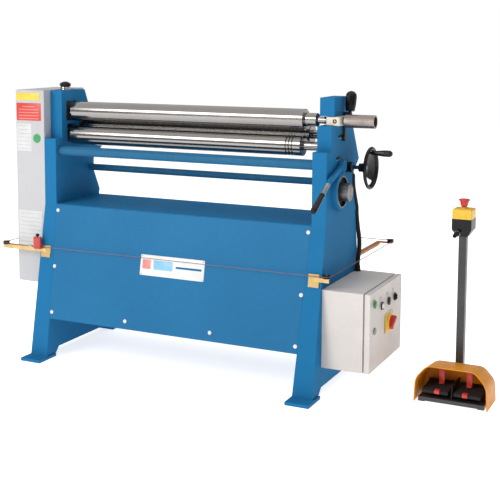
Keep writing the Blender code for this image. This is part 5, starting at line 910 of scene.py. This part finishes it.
@dataclass(frozen=True)
class Heads(Assembly):
    """Facings on the two bending heads, the pinch lever's grip and the conduit."""

    # Size of the dark plate of painted shade in each slot; lip is the bright strip under it.
    slot: Sizes = (0.042, 0.009, 0.0004, 0.0035, 0.0001)
    lip: Sizes = (0.04, 0.0014, 0.0006, 0.0004, 0.0001)
    lip_drop: float = 0.0085
    slot_spots: Profile = mm(138, 960, 119, 879)
    plug_spot: Pair = (1.2005, 1.0196)
    plug_rim: Profile = mm(0, -0.2, 8.8, -0.2, 8.8, 0.5, 8.2, 0.8, 5.2, 0.8, 4.6, 0.4, 0, 0.4)
    plug_middle: Profile = mm(0, 0.3, 4.2, 0.3, 4.2, 0.9, 3.6, 1.2, 0, 1.2)
    housing_spot: Pair = (0.117, 0.752)
    housing_aside: Pair = (-0.064, 0.0)
    housing_ring: Profile = mm(56.5, -0.3, 59.2, -0.3, 59.2, 0.3, 58.9, 0.5, 56.8, 0.5, 56.5, 0.3)
    bore_shade: Profile = mm(35.2, -12.1, 56.2, -12.1, 56.2, -0.6, 55.6, -0.6, 55.6, -11.6, 35.2, -11.6)
    collar_spot: Point = (1.1995, 0.225, 0.834)
    collar_sleeve: Profile = mm(
        18.8, 0.2, 20.5, 0.2, 20.7, 1.2, 20.7, 7, 19.8, 7.8, 19.8, 9.8, 20.7, 10.6, 20.7, 21, 20.2, 22.8, 18.8, 23.2)
    cup_spot: Point = (-0.0285, 0.1174, 1.107)
    cup_sleeve: Profile = mm(
        19.8, 0.3, 21.4, 0.3, 21.6, 1, 21.6, 5.5, 21, 6.6, 21, 7.6, 21.6, 8.4, 21.6, 12.2, 20.9, 13.6, 19.8, 13.8)
    grip: Profile = mm(
        6.9, 78, 9.8, 78, 10.6, 79.5, 10.6, 83, 9.8, 84.5, 10.2, 100, 11.2, 130, 12, 160, 12.2, 168, 11.4, 175.5,
        9, 181.5)
    grip_sleeve: Profile = mm(6.8, 12.7, 8.2, 12.7, 8.6, 13.3, 8.6, 16.7, 8.2, 17.3, 8.2, 77.6, 6.8, 77.6)
    elbow: Pair = (-0.012, 0.803)
    grip_end: Pair = (-0.175, 0.714)
    run: tuple[Point, ...] = (
        (1.2125, 0.3295, 0.4085), (1.2125, 0.3295, 0.432), (1.2125, 0.333, 0.456), (1.2105, 0.352, 0.49),
        (1.2075, 0.3595, 0.53), (1.2035, 0.3515, 0.58), (1.1995, 0.3465, 0.63), (1.199, 0.3435, 0.662),
        (1.199, 0.325, 0.7), (1.199, 0.3045, 0.742), (1.1985, 0.299, 0.77), (1.1975, 0.2985, 0.793),
        (1.19, 0.2985, 0.802), (1.18, 0.2985, 0.798))
    conduit_radius: float = 0.0092
    conduit_rib: float = 0.0009
    rib_pitch: float = 0.0024
    gland_drop: float = 0.0022
    gland_nut: Profile = mm(0, 0.3, 12.5, 0.3, 12.5, 9.5, 11.8, 10.2, 0, 10.2)
    gland_cap: Profile = mm(0, 10.1, 11.2, 10.1, 11.2, 20, 10.4, 22.5, 0, 22.5)

    def housing(self) -> None:
        """Face the eccentric housing on the right frame with its machined ring, and line its bore with painted shade.
        """
        piece = Piece("housing_face", "machined_steel", "dark_and_painted_shade")
        frame = self.places.level("right_frame", self.housing_spot, self.housing_aside)
        piece.turned(frame, self.housing_ring, 64)
        # The bore's lining is painted shade: a near-black shell where the recess falls in shadow.
        piece.turned(frame, self.bore_shade, 64, 1)
        piece.finish(self.paint)

    def slots(self) -> None:
        """Set a dark plate of painted shade in each of the two clamping slots in the side of the right head, each over
        a bright lip.
        """
        piece = Piece("head_slots", "dark_and_painted_shade", "label_sky")
        for spot in self.slot_spots:
            frame = self.places.side("right_frame", *spot)
            # The dark plate is painted shade in place of the slot's shadowed opening.
            piece.plate(frame, *self.slot)
            piece.plate(moved(frame, 0.0, -self.lip_drop), *self.lip, 1)
        piece.finish(self.paint)

    def plug(self) -> None:
        """Set the dark round plug with its bright middle in the front of the swing bearing's block."""
        piece = Piece("bearing_plug", "dark_and_painted_shade", "passivated")
        frame = self.places.front("swing_bearing", *self.plug_spot)
        piece.turned(frame, self.plug_rim)
        piece.turned(frame, self.plug_middle, 24, 1)
        piece.finish(self.paint, Body.SWING)

    def collar(self) -> None:
        """Put the black sleeve with its rings over the handwheel's collar."""
        piece = Piece("spindle_sleeve", "black_plastic", "chrome")
        piece.turned(self.places.facing(RIGHT, *self.collar_spot), self.collar_sleeve, 40)
        piece.finish(self.paint)

    def cup(self) -> None:
        """Put the bright sleeve round the lubricator's cup on the left head."""
        piece = Piece("lubricator_sleeve", "chrome")
        piece.turned(Matrix.Translation(self.places.at(*self.cup_spot)), self.cup_sleeve, 40)
        piece.finish(self.paint)

    def handle(self) -> None:
        """Shape the pinch lever's grip: a short black grip on a bright sleeved rod."""
        piece = Piece("pinch_handle", "black_plastic", "machined_steel")
        low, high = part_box("pinch_grip")
        elbow = self.places.at(0.0, *self.elbow)
        end = self.places.at(0.0, *self.grip_end)
        elbow.x = end.x = (low[0] + high[0]) / 2
        frame = standing(elbow, end - elbow)
        reach = (end - elbow).length
        base, tip = reach - 0.0117, reach - 0.0004
        piece.turned(frame, ((0.0, base), (0.0069, base), *self.grip, (0.0048, tip), (0.0, reach)), 36)
        piece.turned(frame, self.grip_sleeve, 36, 1)
        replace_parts(piece.finish(self.paint, Body.PINCH_LEVER), "pinch_grip")

    def conduit(self) -> None:
        """Run the ribbed conduit from its gland on the cabinet up the rear edge of the right frame."""
        piece = Piece("ribbed_conduit", "black_rubber", "black_plastic")
        line = curve([self.places.at(*spot) for spot in self.run], self.rib_pitch)
        piece.tube(line, self.conduit_radius, 16, self.conduit_rib)
        x, y, z = self.run[0]
        foot = Matrix.Translation(self.places.at(x, y, z - self.gland_drop))
        piece.turned(foot, self.gland_nut, 6, 1)
        piece.turned(foot, self.gland_cap, 32, 1)
        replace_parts(piece.finish(self.paint), "cable_conduit")

    def build(self) -> None:
        """Add the grip, the conduit and every facing."""
        self.handle()
        self.conduit()
        self.housing()
        self.slots()
        self.collar()
        self.cup()
        self.plug()


@dataclass(frozen=True)
class TripLine(Assembly):
    """The clamp on the trip wire."""

    clamp_x: float = -0.102
    wire_z: float = 0.457
    wire_radius: float = 0.0015
    clamp: Sizes = (0.016, 0.01, 0.0058, 0.002, 0.0006)
    clamp_back: float = 0.003

    def build(self) -> None:
        """Set the clamp that closes the wire's loop beside the switch."""
        piece = Piece("wire_clamp", "zinc")
        low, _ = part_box("trip_wire")
        place = self.places.at(self.clamp_x, 0.0, self.wire_z)
        place.y = low[1] + self.wire_radius
        piece.plate(moved(standing(place, FRONT), 0.0, 0.0, -self.clamp_back), *self.clamp)
        piece.finish(self.paint)


@dataclass(frozen=True)
class FootSwitch(Assembly):
    """The bent hood over the pedals, the red latches and stops, the mushroom and the gland."""

    middle: float = 1.6525
    hood_y: Pair = (0.08, 0.232)
    sheet: float = 0.003
    outline: Profile = mm(134.5, 0.6, 130, 88, 88.5, 139)
    rear_drop: float = 0.018
    rear_pull: float = 0.004
    bend: float = 0.02
    bend_steps: int = 6
    divider: Sizes = (0.005, 0.12, 0.05, 0.001, 0.0006)
    divider_spot: Pair = (0.166, 0.0175)
    latch_offset: float = 0.05074
    hub_half: float = 0.011
    hub_spot: Pair = (0.168, 0.116)
    blade_spot: Pair = (0.167, 0.084)
    blade: Sizes = (0.02, 0.062, 0.004, 0.003, 0.0008)
    toe_spot: Pair = (0.162, 0.055)
    toe: Sizes = (0.02, 0.014, 0.004, 0.003, 0.0008)
    latch_hub: Profile = mm(0, 0, 6.5, 0, 7, 0.6, 7, 21.4, 6.5, 22, 0, 22)
    rise_spot: Pair = (0.0922, 0.0419)
    rise: Sizes = (0.019, 0.012, 0.003, 0.002, 0.0006)
    cap_spot: Pair = (0.101, 0.0462)
    cap: Sizes = (0.019, 0.02, 0.0035, 0.002, 0.0006)
    gland_spot: Pair = (1.636, 0.616)
    gland_lean: Point = (-0.25, -1.0, -0.35)
    gland_body: Profile = mm(
        0, -1, 8.5, -1, 8.5, 6, 9.5, 6.5, 9.5, 14, 8, 16, 7.8, 26, 6.8, 28, 4.5, 28, 4.5, 20, 0, 20)
    gland_ring: Profile = mm(8.7, 2.5, 11.2, 2.5, 11.6, 3, 11.6, 4.5, 11.2, 5, 8.7, 5)
    head_height: float = 0.025
    head: Profile = mm(
        10.2, 0, 12.8, 0.3, 13.6, 1, 13.8, 6, 14.6, 11, 16.6, 15.5, 19.2, 19, 20, 20.3, 20, 22.2, 19.3, 23.7)

    def arch(self) -> list[Pair]:
        """Round the bends of the hood's outline.

        Returns:
            The outline in X and Z, from left to right.
        """
        points = [(-x, z) for x, z in self.outline] + [(x, z) for x, z in reversed(self.outline)]
        line = [points[0]]
        for before, corner, after in zip(points, points[1:], points[2:]):
            spot = Vector(corner)
            start = spot + (Vector(before) - spot).normalized() * self.bend
            end = spot + (Vector(after) - spot).normalized() * self.bend
            for step in range(self.bend_steps + 1):
                share = step / self.bend_steps
                line.append(tuple(start.lerp(spot, share).lerp(spot.lerp(end, share), share)))
        return line + [points[-1]]

    def hood(self) -> None:
        """Bend the hood from one sheet, closed at the rear, and stand the black divider in it."""
        shell = bmesh.new()
        top = max(z for _, z in self.outline)
        front, rear = self.hood_y
        rows = []
        for y in (front, (front + rear) / 2, rear - self.bend / 3, rear):
            share = (y - front) / (rear - front)
            pull = self.rear_pull if y == rear else 0.0
            narrow, lower = 1.0 - pull * 6, 1.0 - (self.rear_drop * share + pull) / top
            spots = [self.places.at(self.middle + x * narrow, y, z * lower) for x, z in self.arch()]
            rows.append([shell.verts.new(spot) for spot in spots])
        skin(shell, rows, closed=False)
        shell.faces.new(rows[-1])
        bmesh.ops.recalc_face_normals(shell, faces=shell.faces)
        if sum((face.normal.z for face in shell.faces), 0.0) < 0.0:
            bmesh.ops.reverse_faces(shell, faces=shell.faces)
        bmesh.ops.solidify(shell, geom=list(shell.faces), thickness=self.sheet)
        piece = Piece("pedal_hood", "orange_paint", "black_rubber")
        piece.add(shell, Matrix.Identity(4), 0)
        piece.plate(self.places.facing(UP, self.middle, *self.divider_spot), *self.divider, 1)
        made = piece.finish(self.paint)
        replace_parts(made, "pedal_guard")

    def latches(self) -> None:
        """Hang a narrow red latch over each pedal and put a red toe stop on its nose."""
        at = self.places.facing
        left = ("left", -1, Body.LEFT_LATCH, Body.LEFT_PEDAL)
        right = ("right", 1, Body.RIGHT_LATCH, Body.RIGHT_PEDAL)
        for name, side, latch, pedal in (left, right):
            x = self.middle + side * self.latch_offset
            piece = Piece(f"toe_latch_{name}", "red_plastic")
            piece.turned(at(RIGHT, x - self.hub_half, *self.hub_spot), self.latch_hub, 24)
            piece.plate(at(FRONT, x, *self.blade_spot), *self.blade)
            piece.plate(at(UP, x, *self.toe_spot), *self.toe)
            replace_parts(piece.finish(self.paint, latch), f"pedal_latch_{name}")
            stop = Piece(f"toe_stop_{name}", "red_plastic")
            stop.plate(at(FRONT, x, *self.rise_spot), *self.rise)
            stop.plate(at(UP, x, *self.cap_spot), *self.cap)
            stop.finish(self.paint, pedal)

    def gland(self) -> None:
        """Screw the short cable gland with its bright ring into the front of the stop station."""
        piece = Piece("stop_gland", "black_rubber", "chrome")
        start = self.places.front("stop_station", *self.gland_spot).translation
        frame = standing(start, Vector(self.gland_lean))
        piece.turned(frame, self.gland_body, 28)
        piece.turned(frame, self.gland_ring, 28, 1)
        piece.finish(self.paint)

    def mushroom(self) -> None:
        """Shape the mushroom button: wide and flat on top, drawn in towards its stem."""
        piece = Piece("mushroom_head", "red_plastic")
        low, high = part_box("stop_mushroom")
        frame = Matrix.Translation(((low[0] + high[0]) / 2, (low[1] + high[1]) / 2, low[2]))
        top = high[2] - low[2]
        head = top - self.head_height
        rim = [(radius, head + rise) for radius, rise in self.head]
        crown = ((0.017, top - 0.0005), (0.01, top), (0.0, top))
        piece.turned(frame, ((0.0, 0.0), (0.0102, 0.0), *rim, *crown), 48)
        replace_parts(piece.finish(self.paint, Body.MUSHROOM), "stop_mushroom")

    def build(self) -> None:
        """Add the hood, the latches, the toe stops, the mushroom and the gland."""
        self.hood()
        self.latches()
        self.mushroom()
        self.gland()


@dataclass(frozen=True)
class Studio:
    """The floor, the lights and the camera.

    Args:
        places: where the machine stands.
    """

    places: Places
    spot: Point = (2.5448, -3.6287, 1.3267)
    azimuth: float = 27.1204
    dip: float = 6.2066
    lens: float = 76.1
    sensor: float = 36.0
    shift: Pair = (0.0959, -0.1937)
    clip: Pair = (0.1, 200.0)
    room_light: float = 0.27
    floor_light: float = 0.76
    floor_size: float = 60.0
    key: tuple[Point, Point, float, float] = ((-1.8, -4.6, 3.0), (0.6, 0.0, 0.6), 2.4, 135.0)
    top: tuple[Point, Point, float, float] = ((0.6, -0.2, 4.2), (0.6, -0.2, 0.0), 10.5, 255.0)
    floor_tones: tuple[Colour, Colour] = ((0.9, 0.9, 0.9, 1.0), (0.88, 0.88, 0.88, 1.0))

    def camera(self) -> None:
        """Set the camera at the photograph's place and angle."""
        data = bpy.data.cameras.new("camera")
        data.lens = self.lens
        data.sensor_width = self.sensor
        data.sensor_fit = "HORIZONTAL"
        data.shift_x, data.shift_y = self.shift
        data.clip_start, data.clip_end = self.clip
        made = placed("camera", data)
        made.location = self.places.at(*self.spot)
        made.rotation_euler = (math.radians(90.0 - self.dip), 0.0, math.radians(self.azimuth))
        bpy.context.scene.camera = made

    def light(self, name: str, place: Point, aim: Point, size: float, power: float) -> None:
        """Hang one soft square box.

        Args:
            name: name of the light.
            place: where it hangs, in the machine's frame.
            aim: the point that it faces.
            size: its width and height.
            power: its power in watts.
        """
        data = bpy.data.lights.new(name, "AREA")
        data.shape = "RECTANGLE"
        data.size = data.size_y = size
        data.energy = power
        made = placed(name, data)
        start = self.places.at(*place)
        made.location = start
        made.rotation_euler = (self.places.at(*aim) - start).to_track_quat("-Z", "Y").to_euler()

    def world(self) -> None:
        """Make the air white to the camera and a calm grey to everything else."""
        world = bpy.data.worlds.new("studio")
        bpy.context.scene.world = world
        world.use_nodes = True
        nodes = Nodes(world.node_tree)
        seen = nodes.add("LightPath").outputs["Is Camera Ray"]
        room = nodes.add("Background", {"Color": WHITE, "Strength": self.room_light}).outputs[0]
        back = nodes.add("Background", {"Color": WHITE}).outputs[0]
        mix = nodes.add("MixShader", {0: seen, 1: room, 2: back}).outputs[0]
        nodes.add("OutputWorld", {"Surface": mix})

    def floor(self) -> None:
        """Lay the plain pale floor."""
        surface = Surface("floor")
        tone = surface.noise(1.5).between(0.3, 0.7)
        surface.dress({"Base Color": surface.mixed(tone, *self.floor_tones), "Roughness": 0.9,
                       "Specular IOR Level": 0.1, "Emission Color": WHITE, "Emission Strength": self.floor_light})
        mesh = bmesh.new()
        bmesh.ops.create_grid(mesh, x_segments=8, y_segments=8, size=self.floor_size)
        data = bpy.data.meshes.new("floor")
        mesh.to_mesh(data)
        mesh.free()
        data.materials.append(surface.material)
        made = placed("floor", data)

    def build(self) -> None:
        """Add the camera, the air, the floor and the lights."""
        self.camera()
        self.world()
        self.floor()
        self.light("key", *self.key)
        self.light("top", *self.top)
        bpy.context.scene.view_settings.view_transform = "Standard"
        LOG.info("studio: camera, floor and two lights")


def main() -> None:
    """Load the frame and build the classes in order."""
    logging.basicConfig(level=logging.INFO)
    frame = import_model()
    places = Places(frame["nodes"])
    paint = Paintwork(FINISHES)
    Studio(places).build()
    Carried(frame, paint).build()
    for assembly in (Panels, ControlDoor, Heads, TripLine, FootSwitch):
        assembly(places, paint).build()
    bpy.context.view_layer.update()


if __name__ == "__main__":
    main()
